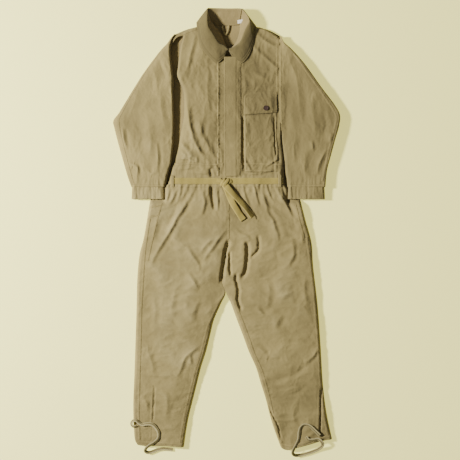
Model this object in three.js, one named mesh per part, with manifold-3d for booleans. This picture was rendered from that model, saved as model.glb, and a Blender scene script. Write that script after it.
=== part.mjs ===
// One-piece cotton coverall lying flat on its back with its front up.
// Millimetres. X runs to the wearer's left, Y to the collar, Z up from the floor it lies on.
// Every lay of cloth is a slab; seams that close a side stand as low walls between the lays.
import * as THREE from 'three';
import { mergeVertices } from 'three/addons/utils/BufferGeometryUtils.js';
import Module from 'manifold-3d';

const wasm = await Module();
wasm.setup();

// Heights
const cloth = 3; // one lay of cloth
const loft = 20; // underside of the front lay
const gap = 0.4; // clearance between sewn pieces
const frontTop = loft + cloth;
const onFront = frontTop + gap; // where pieces sewn on the front start
const wallLow = cloth + gap;
const wallHigh = loft - gap;
const seamWidth = 5;
const leafLow = 30; // underside of the turned-down collar
const hangerLow = 7;

// Levels along the body
const collarTop = 827;
const neckSeam = 771;
const frontNeck = 640;
const waistTop = 248;
const waistLow = 168;
const kneeLine = -430;
const cuffTop = 162;
const cuffTie = 4; // wall of a gathered cuff

// Front closing
const openEdge = -9; // free edge of the placket
const placketSeam = 54; // stitched edge of the placket
const placketLow = 200;
const placketHigh = 618;
const stripThickness = 1.4;
const coverThickness = 2;
const buttonRadius = 9.5;
const shankRadius = 1.8;
const headThickness = 2.6;
const buttonColumn = 24;
const buttonFirst = 230;
const buttonPitch = 88;
const buttonCount = 5;

// Chest pocket
const pocket = { left: 62, right: 180, low: 215, high: 500, depth: 9 };
const flapHinge = 515;
const flapThickness = 2;

// Belt
const beltWidth = 24;
const beltThickness = 2.6;
const beltMiddle = 181;
const knotMiddle = [-6, 168];
const tailThickness = 2;

// Ankle ties
const tieRadius = 4;
const tieOnLeg = onFront + tieRadius + 0.2;

const drill = new THREE.MeshStandardMaterial({ color: 0xaf9f79, roughness: 0.95, metalness: 0 });
const inside = new THREE.MeshStandardMaterial({ color: 0x94845c, roughness: 0.95, metalness: 0 });
const webbing = new THREE.MeshStandardMaterial({ color: 0xb2a16a, roughness: 0.9, metalness: 0 });
const horn = new THREE.MeshStandardMaterial({ color: 0x3d2c22, roughness: 0.5, metalness: 0 });
const whiteTape = new THREE.MeshStandardMaterial({ color: 0xefe9d8, roughness: 0.85, metalness: 0 });

const coverall = new THREE.Group();

function add(name, geometry, material = drill) {
  const mesh = new THREE.Mesh(geometry, material);
  mesh.name = name;
  coverall.add(mesh);
  return mesh;
}

// A point is [x, y], or [cx, cy, x, y] where a curve with that control point arrives.
function outline(points) {
  const shape = new THREE.Shape();
  shape.moveTo(...points[0]);
  for (const point of points.slice(1)) {
    if (point.length === 4) shape.quadraticCurveTo(...point);
    else shape.lineTo(...point);
  }
  return shape;
}

function slab(points, low, high, hole = null) {
  const shape = outline(points);
  if (hole) shape.holes.push(outline(hole));
  const settings = { depth: high - low, bevelEnabled: false, curveSegments: 5 };
  return new THREE.ExtrudeGeometry(shape, settings).translate(0, 0, low);
}

function rectangle(left, right, low, high) {
  return [[left, low], [right, low], [right, high], [left, high]];
}

const backLay = (points) => slab(points, 0, cloth);
const frontLay = (points) => slab(points, loft, frontTop);

// A seam standing between the lays along a line of points.
function wall(line) {
  const one = [];
  const other = [];
  line.forEach(([x, y], index) => {
    const before = line[Math.max(index - 1, 0)];
    const after = line[Math.min(index + 1, line.length - 1)];
    const along = new THREE.Vector2(after[0] - before[0], after[1] - before[1]).normalize();
    const side = along.multiplyScalar(seamWidth / 2);
    one.push([x - side.y, y + side.x]);
    other.unshift([x + side.y, y - side.x]);
  });
  return slab([...one, ...other], wallLow, wallHigh);
}

// A (y, z) section drawn out along X.
function alongX(section, left, right) {
  const settings = { depth: right - left, bevelEnabled: false };
  const geometry = new THREE.ExtrudeGeometry(outline(section), settings);
  const turn = new THREE.Matrix4().set(0, 0, 1, left, 1, 0, 0, 0, 0, 1, 0, 0, 0, 0, 0, 1);
  return geometry.applyMatrix4(turn);
}

function toSolid(geometry) {
  const bare = new THREE.BufferGeometry();
  bare.setAttribute('position', geometry.getAttribute('position').clone());
  if (geometry.index) bare.setIndex(geometry.index.clone());
  const merged = mergeVertices(bare, 1e-3);
  const vertProperties = new Float32Array(merged.getAttribute('position').array);
  const triVerts = new Uint32Array(merged.index.array);
  return new wasm.Manifold(new wasm.Mesh({ numProp: 3, vertProperties, triVerts }));
}

function fromSolid(solid) {
  const mesh = solid.getMesh();
  const geometry = new THREE.BufferGeometry();
  geometry.setAttribute('position', new THREE.BufferAttribute(mesh.vertProperties, 3));
  geometry.setIndex(new THREE.BufferAttribute(mesh.triVerts, 1));
  return geometry;
}

function cut(body, tool) {
  return fromSolid(toSolid(body).subtract(toSolid(tool)));
}

// A flat button lying at a place, on a shank when it is sewn through a buttonhole.
function button(x, y, low, shank) {
  const rim = low + shank;
  const profile = [[0, low]];
  if (shank > 0) profile.push([shankRadius, low], [shankRadius, rim]);
  profile.push([buttonRadius, rim], [buttonRadius, rim + headThickness], [buttonRadius - 2, rim + headThickness]);
  profile.push([buttonRadius - 3, rim + headThickness - 0.8], [0, rim + headThickness - 0.8]);
  const points = profile.map(([radius, height]) => new THREE.Vector2(radius, height));
  return new THREE.LatheGeometry(points, 20).rotateX(Math.PI / 2).translate(x, y, 0);
}

// A flat tape end from the knot to a point, both taken along its middle line.
function beltTail(start, end, low) {
  const middle = new THREE.Vector2(...knotMiddle);
  const tip = new THREE.Vector2(...end);
  const along = tip.clone().sub(middle).normalize();
  const side = new THREE.Vector2(-along.y, along.x).multiplyScalar(beltWidth / 2);
  const root = middle.clone().addScaledVector(along, start);
  const corners = [root.clone().sub(side), tip.clone().sub(side), tip.clone().add(side), root.clone().add(side)];
  return slab(corners.map((corner) => corner.toArray()), low, low + tailThickness);
}

// A cord of eight sides along a route of [x, y, z] points.
function cord(route, radius, steps) {
  const curve = new THREE.CatmullRomCurve3(route.map((point) => new THREE.Vector3(...point)));
  const section = new THREE.Shape();
  for (let side = 0; side < 8; side += 1) {
    const angle = (side / 8) * 2 * Math.PI;
    const point = [radius * Math.cos(angle), radius * Math.sin(angle)];
    if (side === 0) section.moveTo(...point);
    else section.lineTo(...point);
  }
  return new THREE.ExtrudeGeometry(section, { extrudePath: curve, steps });
}

// Body above the waist
const backOutline = [
  [-205.5, waistTop + gap], [-196.5, 357], [-196.5, 700], [-193, 733], [-112, 762], [-66, neckSeam],
  [56, neckSeam], [112, 762], [184, 745], [198, 724], [198, 440], [203, 391], [214, 262], [215, waistTop + gap],
];
const rightFrontOutline = [
  [-195, waistTop + gap], [-193, 264], [-174, 357], [-160, 417], [-168, 545], [-185, 579], [-178, 642],
  [-167, 712], [-189, 735], [-105, 761], [-10, 655], [-10, waistTop + gap],
];
const leftFrontOutline = [
  [placketSeam + gap, waistTop + gap], [placketSeam + gap, 690], [105, 761], [184, 745], [198, 722],
  [198, 440], [203, 391], [214, 262], [215, waistTop + gap],
];
add('back_panel', backLay(backOutline), inside);
add('right_front_panel', frontLay(rightFrontOutline));
add('left_front_panel', frontLay(leftFrontOutline));
add('right_side_seam', wall([[-163, 516], [-157, 417], [-171, 357], [-189, 262], [-193, 246], [-212, 174]]));
add('left_side_seam', wall([[194, 516], [194, 440], [199, 391], [210, 262], [214, 174]]));
add('right_shoulder_seam', wall([[-108, 756], [-186, 731]]));
add('left_shoulder_seam', wall([[108, 756], [181, 740], [192, 726]]));

// Waistband
const waistOutline = [
  [-205.8, waistTop], [-225, waistLow], [219, waistLow], [216.5, 192], [215, waistTop],
];
add('waistband_back', backLay(waistOutline), inside);
add('waistband_front', frontLay(waistOutline));

// Front closing: button stand, buttonhole strip, buttons and the cover that hides them
const buttonStand = rectangle(openEdge - 0.6, 50, waistTop + gap, frontNeck);
add('button_stand', frontLay(buttonStand));

function buttonholeStrip() {
  const strip = slab(rectangle(-4, placketSeam - gap, placketLow, placketHigh), onFront, onFront + stripThickness);
  let solid = toSolid(strip);
  for (let index = 0; index < buttonCount; index += 1) {
    const y = buttonFirst + index * buttonPitch;
    const slot = new THREE.BoxGeometry(5, 22, 4 * stripThickness).translate(buttonColumn, y, onFront);
    solid = solid.subtract(toSolid(slot));
  }
  return fromSolid(solid);
}
add('buttonhole_strip', buttonholeStrip());

const shankHeight = stripThickness + gap;
for (let index = 0; index < buttonCount; index += 1) {
  const y = buttonFirst + index * buttonPitch;
  add(`front_button_${index + 1}`, button(buttonColumn, y, onFront, shankHeight), horn);
}
const coverLow = onFront + shankHeight + headThickness + gap;
const coverOutline = rectangle(openEdge, placketSeam, placketLow, placketHigh);
add('placket_cover', slab(coverOutline, coverLow, coverLow + coverThickness));

// Collar
const collarBackSection = [[neckSeam + 0.6, wallLow + 0.2], [neckSeam + 5, wallLow + 0.2], [collarTop, 41.5], [825, 44]];
add('collar_back', alongX(collarBackSection, -55, 46), inside);
const rightLeaf = [
  [-70, collarTop], [-72, 760, -50, 728], [-30, 692, 1, 677], [-12, 646], [-28, 614, -62, 642],
  [-100, 680, -108, 745], [-112, 774],
];
const leftLeaf = [
  [60, collarTop], [90, 787], [109, 757], [106, 690, 84, 652], [62, 612, 34, 630], [11, 677],
  [48, 690, 66, 738], [72, 762, 58, 800],
];
add('right_collar_leaf', slab(rightLeaf, leafLow, leafLow + cloth));
add('left_collar_leaf', slab(leftLeaf, leafLow, leafLow + cloth));

const collarSlope = Math.atan2(44 - 3.6, 825 - 771.6);
const labelPlace = [44.5, 777.2, 9.2];
const label = new THREE.BoxGeometry(17, 11, 1).rotateX(collarSlope).translate(...labelPlace);
add('neck_label', label, whiteTape);
const hangerOutline = [[-17, 770], [-11, 731], [5, 731], [10, 770]];
const hangerHole = [[-10.5, 764], [3.5, 764], [1, 737], [-7, 737]];
add('hanger_loop', slab(hangerOutline, hangerLow, hangerLow + 2, hangerHole));

// Chest pocket: three sides and a top sheet over the front panel, open at the top
const pocketWall = 3;
const pocketShell = slab(
  rectangle(pocket.left, pocket.right, pocket.low, pocket.high), onFront, onFront + pocket.depth,
);
const pocketHollow = slab(
  rectangle(pocket.left + pocketWall, pocket.right - pocketWall, pocket.low + pocketWall, pocket.high + 10),
  onFront - 1, onFront + pocket.depth - pocketWall,
);
add('chest_pocket', cut(pocketShell, pocketHollow));
const flapLow = onFront + pocket.depth + gap;
const flapOutline = [[60, flapHinge], [60, 430], [186, 437], [186, flapHinge]];
const flapSlit = rectangle(145.5, 148.5, 447, 469);
add('pocket_flap', slab(flapOutline, flapLow, flapLow + flapThickness, flapSlit));
add('pocket_button', button(147, 453, flapLow + flapThickness + gap, 0), horn);

// Belt: two halves from the side seams under their loops, a knot and two tails
const beltLow = beltMiddle - beltWidth / 2;
const beltHigh = beltMiddle + beltWidth / 2;
const beltTop = onFront + beltThickness;
add('right_belt_strap', slab(rectangle(-216, -30.4, beltLow, beltHigh), onFront, beltTop), webbing);
add('left_belt_strap', slab(rectangle(18.4, 213, beltLow, beltHigh), onFront, beltTop), webbing);
const loopSection = [
  [beltLow - 6, onFront], [beltLow - 0.8, onFront], [beltLow - 0.8, beltTop + gap], [beltHigh + 0.8, beltTop + gap],
  [beltHigh + 0.8, onFront], [beltHigh + 6, onFront], [beltHigh + 6, beltTop + 2.4], [beltLow - 6, beltTop + 2.4],
];
add('right_belt_loop', alongX(loopSection, -208, -196));
add('left_belt_loop', alongX(loopSection, 196, 208));
const knotOutline = [[-30, 168], [-18, 152], [8, 152], [18, 166], [18, 178], [8, 192], [-18, 192], [-30, 180]];
add('belt_knot', slab(knotOutline, onFront, onFront + 10), webbing);
const secondTailLow = onFront + tailThickness + gap;
add('belt_tail_1', beltTail(28, [64, 35], onFront), webbing);
add('belt_tail_2', beltTail(31, [99, 46], secondTailLow), webbing);

// Legs: the upper halves belong to the body, the lower halves fold at the knee
const legs = {
  right: {
    upper: [
      [5.6, waistLow - gap], [-225, waistLow - gap], [-231, 147], [-230, 112], [-279, 107], [-302, 20],
      [-324, -70], [-336, -190], [-343, kneeLine + 0.2], [-70, kneeLine + 0.2], [-47, -340], [-4, -240],
    ],
    lowerBack: [
      [-343, kneeLine - 0.2], [-347, -550], [-351, -670], [-347, -775], [-326, -806], [-304, -811],
      [-158, -819], [-111, -580], [-70, kneeLine - 0.2],
    ],
    lowerFront: [
      [-343, kneeLine - 0.2], [-347, -550], [-351, -670], [-347, -775], [-326, -806], [-304, -811],
      [-280, -812], [-271, -584], [-269, -584], [-278, -812], [-158, -819], [-111, -580], [-70, kneeLine - 0.2],
    ],
    outseam: [[-276, 104], [-299, 20], [-321, -70], [-333, -190], [-339.5, -427]],
    inseam: [[-9, -248], [-50.5, -341], [-73.5, -427]],
    lowerOutseam: [[-339.5, -433], [-343.5, -550], [-347.5, -670], [-343.5, -772]],
    lowerInseam: [[-74, -433], [-115, -580], [-161, -813]],
  },
  left: {
    upper: [
      [6.4, waistLow - gap], [219, waistLow - gap], [228, 140], [228, 112], [285, 107], [297, 35], [320, -51],
      [343, -287], [354, kneeLine + 0.2], [73, kneeLine + 0.2], [39, -340], [-2, -241],
    ],
    lowerBack: [
      [354, kneeLine - 0.2], [363, -585], [377, -694], [398, -790], [354, -796], [244, -825],
      [227, -collarTop], [201, -819], [163, -700], [111, -520], [84, -460], [73, kneeLine - 0.2],
    ],
    lowerFront: [
      [354, kneeLine - 0.2], [363, -585], [377, -694], [398, -790], [354.5, -796], [361, -573], [359, -573],
      [352.5, -796.5], [244, -825], [227, -collarTop], [201, -819], [163, -700], [111, -520], [84, -460],
      [73, kneeLine - 0.2],
    ],
    outseam: [[282, 104], [294, 35], [317, -51], [340, -287], [350.5, -427]],
    inseam: [[4, -249], [42.5, -341], [76.5, -427]],
    lowerOutseam: [[350.5, -433], [359.5, -585], [373.5, -694], [393, -785]],
    lowerInseam: [[77, -433], [88, -461], [115, -521], [167, -701], [204, -815]],
  },
};
for (const [side, leg] of Object.entries(legs)) {
  add(`${side}_trouser_back`, backLay(leg.upper), inside);
  add(`${side}_trouser_front`, frontLay(leg.upper));
  add(`${side}_outseam`, wall(leg.outseam));
  add(`${side}_inseam`, wall(leg.inseam));
  add(`${side}_shin_back`, backLay(leg.lowerBack), inside);
  add(`${side}_shin_front`, frontLay(leg.lowerFront));
  add(`${side}_shin_outseam`, wall(leg.lowerOutseam));
  add(`${side}_shin_inseam`, wall(leg.lowerInseam));
}

// Tape ties at the ankles, loose on the legs and over the hems
const rightTie = [
  [-337, -736, tieOnLeg], [-349, -738, tieOnLeg], [-356, -728, tieOnLeg], [-350, -717, tieOnLeg],
  [-338, -716, tieOnLeg], [-329, -724, tieOnLeg], [-316, -731, tieOnLeg], [-300, -729, tieOnLeg],
  [-280, -730, tieOnLeg], [-264, -743, tieOnLeg], [-254, -763, tieOnLeg], [-256, -783, tieOnLeg],
  [-270, -797, tieOnLeg], [-288, -808, tieOnLeg], [-302, -821, 24], [-304, -834, 14], [-292, -840, 7],
  [-276, -836, 5], [-258, -829, 5], [-240, -826, 5], [-222, -827, 5], [-202, -829, 5],
];
const leftTie = [
  [350, -772, tieOnLeg], [338, -760, tieOnLeg], [324, -746, tieOnLeg], [308, -734, tieOnLeg],
  [290, -732, tieOnLeg], [277, -743, tieOnLeg], [272, -762, tieOnLeg], [270, -784, tieOnLeg],
  [262, -804, tieOnLeg], [252, -822, tieOnLeg], [248, -838, 24], [258, -849, 12], [278, -850, 5],
  [302, -844, 5], [326, -836, 5], [346, -826, 9], [359, -812, 21], [358, -798, 29],
  [344, -786, tieOnLeg], [326, -788, tieOnLeg], [308, -788, tieOnLeg], [298, -776, tieOnLeg],
];
add('right_ankle_tie', cord(rightTie, tieRadius, 60), webbing);
add('left_ankle_tie', cord(leftTie, tieRadius, 66), webbing);

// Sleeves: each folds at its armhole as one body
const sleeves = {
  right: {
    outline: [
      [-197.2, 729], [-246, 675], [-311, 589], [-401, 442], [-426, 412], [-426, 392], [-407, 323],
      [-372, 200], [-357, cuffTop], [-231, cuffTop], [-227, 174], [-207, 249], [-197.2, 357],
    ],
    outer: [[-204, 716], [-243, 670], [-307, 586], [-397, 440], [-421, 409], [-421, 393], [-403, 323],
      [-368, 201], [-354, 165]],
    inner: [[-201, 508], [-201, 357], [-211, 249], [-231, 178], [-235, 165]],
    cuff: { left: -355, right: -234, low: 117 },
  },
  left: {
    outline: [
      [199.2, 727], [245, 675], [292, 621], [378, 502], [426, 432], [424, 391], [377, 222],
      [369, cuffTop], [229, cuffTop], [216, 260], [204, 391], [199.2, 440],
    ],
    outer: [[206, 714], [242, 671], [289, 618], [375, 499], [421, 430], [419, 392], [373, 223], [365, 165]],
    inner: [[203, 508], [203, 440], [208, 391], [220, 260], [232, 165]],
    cuff: { left: 230, right: 369, low: 114 },
  },
};

function cuffTube({ left, right, low }) {
  const high = cuffTop - gap;
  const outer = slab(rectangle(left, right, low, high), 0, frontTop);
  const hollow = rectangle(left + cuffTie, right - cuffTie, low - 5, high + 5);
  return cut(outer, slab(hollow, cloth, loft));
}
for (const [side, sleeve] of Object.entries(sleeves)) {
  add(`${side}_sleeve_back`, backLay(sleeve.outline), inside);
  add(`${side}_sleeve_front`, frontLay(sleeve.outline));
  add(`${side}_sleeve_outer_seam`, wall(sleeve.outer));
  add(`${side}_sleeve_inner_seam`, wall(sleeve.inner));
  add(`${side}_cuff`, cuffTube(sleeve.cuff));
}

export default coverall;
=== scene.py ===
import math
import bpy
import numpy as np
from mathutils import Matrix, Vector
from mathutils.bvhtree import BVHTree


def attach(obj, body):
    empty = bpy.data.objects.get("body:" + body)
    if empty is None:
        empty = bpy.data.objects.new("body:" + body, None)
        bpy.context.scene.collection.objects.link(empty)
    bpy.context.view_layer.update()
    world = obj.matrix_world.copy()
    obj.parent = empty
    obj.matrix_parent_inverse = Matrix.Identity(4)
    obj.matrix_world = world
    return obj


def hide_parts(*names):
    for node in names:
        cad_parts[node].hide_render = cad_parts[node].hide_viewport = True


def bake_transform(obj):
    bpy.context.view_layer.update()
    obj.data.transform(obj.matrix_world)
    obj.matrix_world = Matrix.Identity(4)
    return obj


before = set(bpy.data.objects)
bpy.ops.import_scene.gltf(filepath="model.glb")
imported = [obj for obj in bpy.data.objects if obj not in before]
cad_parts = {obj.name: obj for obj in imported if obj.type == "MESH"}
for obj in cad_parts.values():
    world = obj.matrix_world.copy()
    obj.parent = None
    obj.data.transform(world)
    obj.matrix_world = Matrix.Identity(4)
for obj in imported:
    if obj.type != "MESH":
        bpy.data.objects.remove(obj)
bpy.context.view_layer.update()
mm = 0.001


# Camera, floor and light: straight above, with the lamp low on the wearer's right
cameraSet = {"lens": 85, "sensor": 36, "across": 1.725, "x": 0.0131, "y": -0.0026, "aimHeight": 0.02}
lightSet = {"keyPower": 425, "keySize": 0.42, "keyDistance": 4.0, "keyFrom": (-1.0, 0.16, 0.76),
            "keyColor": (1.0, 0.97, 0.91), "skyPower": 0.20, "skyColor": (0.96, 0.96, 1.0),
            "floorColor": (0.80, 0.79, 0.31), "floorGlow": (0.92, 0.84, 0.22), "floorGlowPower": 1.0}

camera = bpy.data.objects.new("camera", bpy.data.cameras.new("camera"))
camera.data.lens = cameraSet["lens"]
camera.data.sensor_width = cameraSet["sensor"]
camera.location = (cameraSet["x"], cameraSet["y"],
                   cameraSet["across"] * cameraSet["lens"] / cameraSet["sensor"] + cameraSet["aimHeight"])
bpy.context.collection.objects.link(camera)
bpy.context.scene.camera = camera


def newMaterial(name):
    # An empty material with its node tree and its shader
    material = bpy.data.materials.new(name)
    material.use_nodes = True
    return material, material.node_tree, material.node_tree.nodes["Principled BSDF"]


def makeStage():
    # A pale floor that glows a little, one lamp and an even sky
    mesh = bpy.data.meshes.new("floor")
    mesh.from_pydata([(-4, -4, 0), (4, -4, 0), (4, 4, 0), (-4, 4, 0)], [], [(0, 1, 2, 3)])
    floor = bpy.data.objects.new("floor", mesh)
    bpy.context.collection.objects.link(floor)
    material, _, shader = newMaterial("paleFloor")
    shader.inputs["Base Color"].default_value = (*lightSet["floorColor"], 1)
    shader.inputs["Emission Color"].default_value = (*lightSet["floorGlow"], 1)
    shader.inputs["Emission Strength"].default_value = lightSet["floorGlowPower"]
    shader.inputs["Roughness"].default_value = 1.0
    shader.inputs["Specular IOR Level"].default_value = 0.0
    mesh.materials.append(material)
    key = bpy.data.objects.new("keyLamp", bpy.data.lights.new("keyLamp", "AREA"))
    key.data.energy = lightSet["keyPower"]
    key.data.size = lightSet["keySize"]
    key.data.color = lightSet["keyColor"]
    key.location = Vector(lightSet["keyFrom"]).normalized() * lightSet["keyDistance"]
    key.rotation_euler = Vector(lightSet["keyFrom"]).to_track_quat("Z", "Y").to_euler()
    bpy.context.collection.objects.link(key)
    world = bpy.data.worlds.new("studio")
    bpy.context.scene.world = world
    world.use_nodes = True
    sky = world.node_tree.nodes["Background"]
    sky.inputs["Color"].default_value = (*lightSet["skyColor"], 1)
    sky.inputs["Strength"].default_value = lightSet["skyPower"]


makeStage()
print("stage: camera, floor and light")


# Materials: each cloth has its color, the color where it is rubbed and where light is painted on, and the
# painted shade color down in its folds
def makeNode(tree, kind, inputs=(), **settings):
    # A node with its inputs linked or set
    node = tree.nodes.new(kind)
    for key, value in settings.items():
        setattr(node, key, value)
    for key, value in dict(inputs).items():
        if isinstance(value, bpy.types.NodeSocket):
            tree.links.new(value, node.inputs[key])
        else:
            node.inputs[key].default_value = value
    return node


def mixColors(tree, amount, one, other):
    node = makeNode(tree, "ShaderNodeMix", data_type="RGBA")
    for socket, value in ((node.inputs[0], amount), (node.inputs[6], one), (node.inputs[7], other)):
        if isinstance(value, bpy.types.NodeSocket):
            tree.links.new(value, socket)
        else:
            socket.default_value = value if isinstance(value, float) else (*value, 1)
    return node.outputs[2]


def ramp(tree, value, low, high):
    node = makeNode(tree, "ShaderNodeMapRange", {"Value": value, "From Min": low, "From Max": high})
    return node.outputs["Result"]


def timesColor(color, share):
    return tuple(c * share for c in color)


def clothMaterial(name, colors, pitch=0.0011, tint=1.0, turn=0.9, weaveBump=0.12, crumpleBump=0.3, sheen=0.1):
    # Twill lines on the piece's own map, rubbing with painted light and painted shade from a point attribute,
    # fading by place
    material, tree, shader = newMaterial(name)
    place = makeNode(tree, "ShaderNodeTexCoord").outputs["Object"]
    flat = makeNode(tree, "ShaderNodeUVMap").outputs["UV"]
    turned = makeNode(tree, "ShaderNodeMapping", {"Vector": flat, "Rotation": (0, 0, turn)}).outputs["Vector"]
    twill = makeNode(tree, "ShaderNodeTexWave", {"Vector": turned, "Scale": 0.314 / pitch, "Distortion": 0.6,
                                                 "Detail": 1.0, "Detail Scale": 1.5}, wave_profile="SIN")
    threads = makeNode(tree, "ShaderNodeTexWave", {"Vector": flat, "Scale": 0.5 / pitch, "Distortion": 0.4},
                       bands_direction="X")
    fade = makeNode(tree, "ShaderNodeTexNoise",
                    {"Vector": place, "Scale": 6.0, "Detail": 6.0, "Roughness": 0.66})
    slub = makeNode(tree, "ShaderNodeTexNoise", {"Vector": place, "Scale": 160.0, "Detail": 3.0})
    # This attribute is high where the cloth is rubbed and where light is painted on, low where shade is
    # painted into folds and shaded places
    wornAndLit = makeNode(tree, "ShaderNodeAttribute", attribute_name="wearAndPaintedLight").outputs["Fac"]
    base = timesColor(colors["color"], tint)
    dull = timesColor(base, 0.82)
    paler = mixColors(tree, ramp(tree, fade.outputs["Fac"], 0.35, 0.68), dull, timesColor(base, 1.16))
    # Towards the worn-and-lit color: rubbing on the crests and painted light
    rubAndLight = mixColors(tree, ramp(tree, wornAndLit, 0.55, 1.0), paler, timesColor(colors["wornAndLit"], tint))
    # Towards the shade color: painted shade in the folds and on shaded places
    sunk = mixColors(tree, ramp(tree, wornAndLit, 0.45, 0.0), rubAndLight, timesColor(colors["shade"], tint))
    flecks = mixColors(tree, ramp(tree, slub.outputs["Fac"], 0.30, 0.75), dull, sunk)
    speckled = mixColors(tree, 0.72, flecks, sunk)
    groove = ramp(tree, twill.outputs["Fac"], 0.0, 0.5)
    grooved = mixColors(tree, groove, timesColor(base, 0.8), speckled)
    color = mixColors(tree, 0.8, grooved, speckled)
    tree.links.new(color, shader.inputs["Base Color"])
    rough = makeNode(tree, "ShaderNodeMapRange",
                     {"Value": fade.outputs["Fac"], "To Min": 0.86, "To Max": 0.96})
    tree.links.new(rough.outputs["Result"], shader.inputs["Roughness"])
    shader.inputs["Specular IOR Level"].default_value = 0.25
    shader.inputs["Sheen Weight"].default_value = sheen
    shader.inputs["Sheen Roughness"].default_value = 0.5
    crumple = makeNode(tree, "ShaderNodeTexNoise", {"Vector": place, "Scale": 70.0, "Detail": 6.0,
                                                    "Roughness": 0.6, "Distortion": 0.6})
    low = makeNode(tree, "ShaderNodeBump", {"Strength": crumpleBump, "Distance": 0.0022,
                                            "Height": crumple.outputs["Fac"]})
    mid = makeNode(tree, "ShaderNodeBump", {"Strength": weaveBump, "Distance": 0.0004,
                                            "Height": twill.outputs["Fac"], "Normal": low.outputs["Normal"]})
    fine = makeNode(tree, "ShaderNodeBump", {"Strength": weaveBump * 0.7, "Distance": 0.0003,
                                             "Height": threads.outputs["Fac"],
                                             "Normal": mid.outputs["Normal"]})
    tree.links.new(fine.outputs["Normal"], shader.inputs["Normal"])
    return material


def hornMaterial():
    # Dark brown horn with a faint swirl
    material, tree, shader = newMaterial("darkHorn")
    place = makeNode(tree, "ShaderNodeTexCoord").outputs["Object"]
    noise = makeNode(tree, "ShaderNodeTexNoise",
                     {"Vector": place, "Scale": 90.0, "Detail": 4.0, "Distortion": 2.0})
    swirl = noise.outputs["Fac"]
    color = mixColors(tree, ramp(tree, swirl, 0.35, 0.7), hornSet["dark"], hornSet["light"])
    tree.links.new(color, shader.inputs["Base Color"])
    rough = makeNode(tree, "ShaderNodeMapRange", {"Value": swirl, "To Min": 0.55, "To Max": 0.75})
    tree.links.new(rough.outputs["Result"], shader.inputs["Roughness"])
    bump = makeNode(tree, "ShaderNodeBump", {"Strength": 0.15, "Distance": 0.0003, "Height": swirl})
    tree.links.new(bump.outputs["Normal"], shader.inputs["Normal"])
    return material


# Each set: the cloth's color, the color for rubbed places and painted light, and the painted shade color
drillSet = {"color": (0.262, 0.209, 0.080), "wornAndLit": (0.37, 0.305, 0.135), "shade": (0.132, 0.104, 0.040)}
webbingSet = {"color": (0.318, 0.250, 0.062), "wornAndLit": (0.42, 0.34, 0.11), "shade": (0.19, 0.142, 0.034)}
tapeSet = {"color": (0.30, 0.255, 0.110), "wornAndLit": (0.43, 0.375, 0.190), "shade": (0.085, 0.062, 0.020)}
# The inside cloth is colored lighter than the outer cloth: painted light that lifts the shade in the neck, in
# the gaps and on the collar stands
insideSet = {"color": (0.285, 0.222, 0.090), "wornAndLit": (0.34, 0.27, 0.12), "shade": (0.19, 0.142, 0.055)}
whiteSet = {"color": (0.72, 0.69, 0.60), "wornAndLit": (0.80, 0.77, 0.70), "shade": (0.50, 0.47, 0.40)}
threadSet = {"color": (0.32, 0.255, 0.115), "wornAndLit": (0.40, 0.33, 0.17), "shade": (0.22, 0.165, 0.07)}
hornSet = {"dark": (0.020, 0.007, 0.003), "light": (0.050, 0.020, 0.010)}
khakiDrill = clothMaterial("khakiDrill", drillSet)
khakiDouble = clothMaterial("khakiDouble", drillSet, tint=1.03, turn=2.2)
khakiInside = clothMaterial("khakiInside", insideSet, turn=2.2)
khakiCollar = clothMaterial("khakiCollar", drillSet, tint=0.56, turn=0.4, crumpleBump=0.4)
oliveWebbing = clothMaterial("oliveWebbing", webbingSet, pitch=0.0022, weaveBump=0.35, crumpleBump=0.15)
ankleTape = clothMaterial("ankleTape", tapeSet, pitch=0.0016, weaveBump=0.35, crumpleBump=0.1)
whiteTape = clothMaterial("whiteTape", whiteSet, pitch=0.0008, crumpleBump=0.1)
sewingThread = clothMaterial("sewingThread", threadSet, pitch=0.0006, weaveBump=0.4, crumpleBump=0.1,
                             sheen=0.2)
darkHorn = hornMaterial()


# Lines, noise and heights: all in millimetres until a mesh is made
def curveThrough(points, dense=14):
    # A smooth line through the points
    p = np.asarray(points, float)
    if len(p) < 3:
        return p
    ends = np.vstack([2 * p[0] - p[1], p, 2 * p[-1] - p[-2]])
    parts = []
    t = np.linspace(0, 1, dense, endpoint=False)[:, None]
    for a, b, c, d in zip(ends[:-3], ends[1:-2], ends[2:-1], ends[3:]):
        parts.append(0.5 * (2 * b + (c - a) * t + (2 * a - 5 * b + 4 * c - d) * t ** 2
                            + (3 * b - a - 3 * c + d) * t ** 3))
    return np.vstack([*parts, p[-1:]])


def spread(line, shares):
    # Points at these shares of the line's length
    steps = np.concatenate([[0], np.cumsum(np.linalg.norm(np.diff(line, axis=0), axis=1))])
    return np.stack([np.interp(shares * steps[-1], steps, line[:, k]) for k in range(line.shape[1])], axis=1)


def lineLength(line):
    return float(np.linalg.norm(np.diff(np.asarray(line, float), axis=0), axis=1).sum())


def ease(v):
    # From 0 to 1 with soft ends
    v = np.clip(v, 0, 1)
    return v * v * (3 - 2 * v)


noiseTable = np.random.default_rng(41).permutation(512)
noiseTurn = np.random.default_rng(42).uniform(0, 2 * np.pi, 512)


def softNoise(x, y, seed=0):
    # Gradient noise, about -0.7 to 0.7
    xi, yi = np.floor(x).astype(int), np.floor(y).astype(int)
    xf, yf = x - xi, y - yi

    def corner(i, j):
        turn = noiseTurn[(noiseTable[(noiseTable[(xi + i + seed * 37) & 511] + yi + j) & 511])]
        return np.cos(turn) * (xf - i) + np.sin(turn) * (yf - j)

    u, v = xf ** 3 * (xf * (xf * 6 - 15) + 10), yf ** 3 * (yf * (yf * 6 - 15) + 10)
    low = corner(0, 0) * (1 - u) + corner(1, 0) * u
    high = corner(0, 1) * (1 - u) + corner(1, 1) * u
    return low * (1 - v) + high * v


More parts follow.
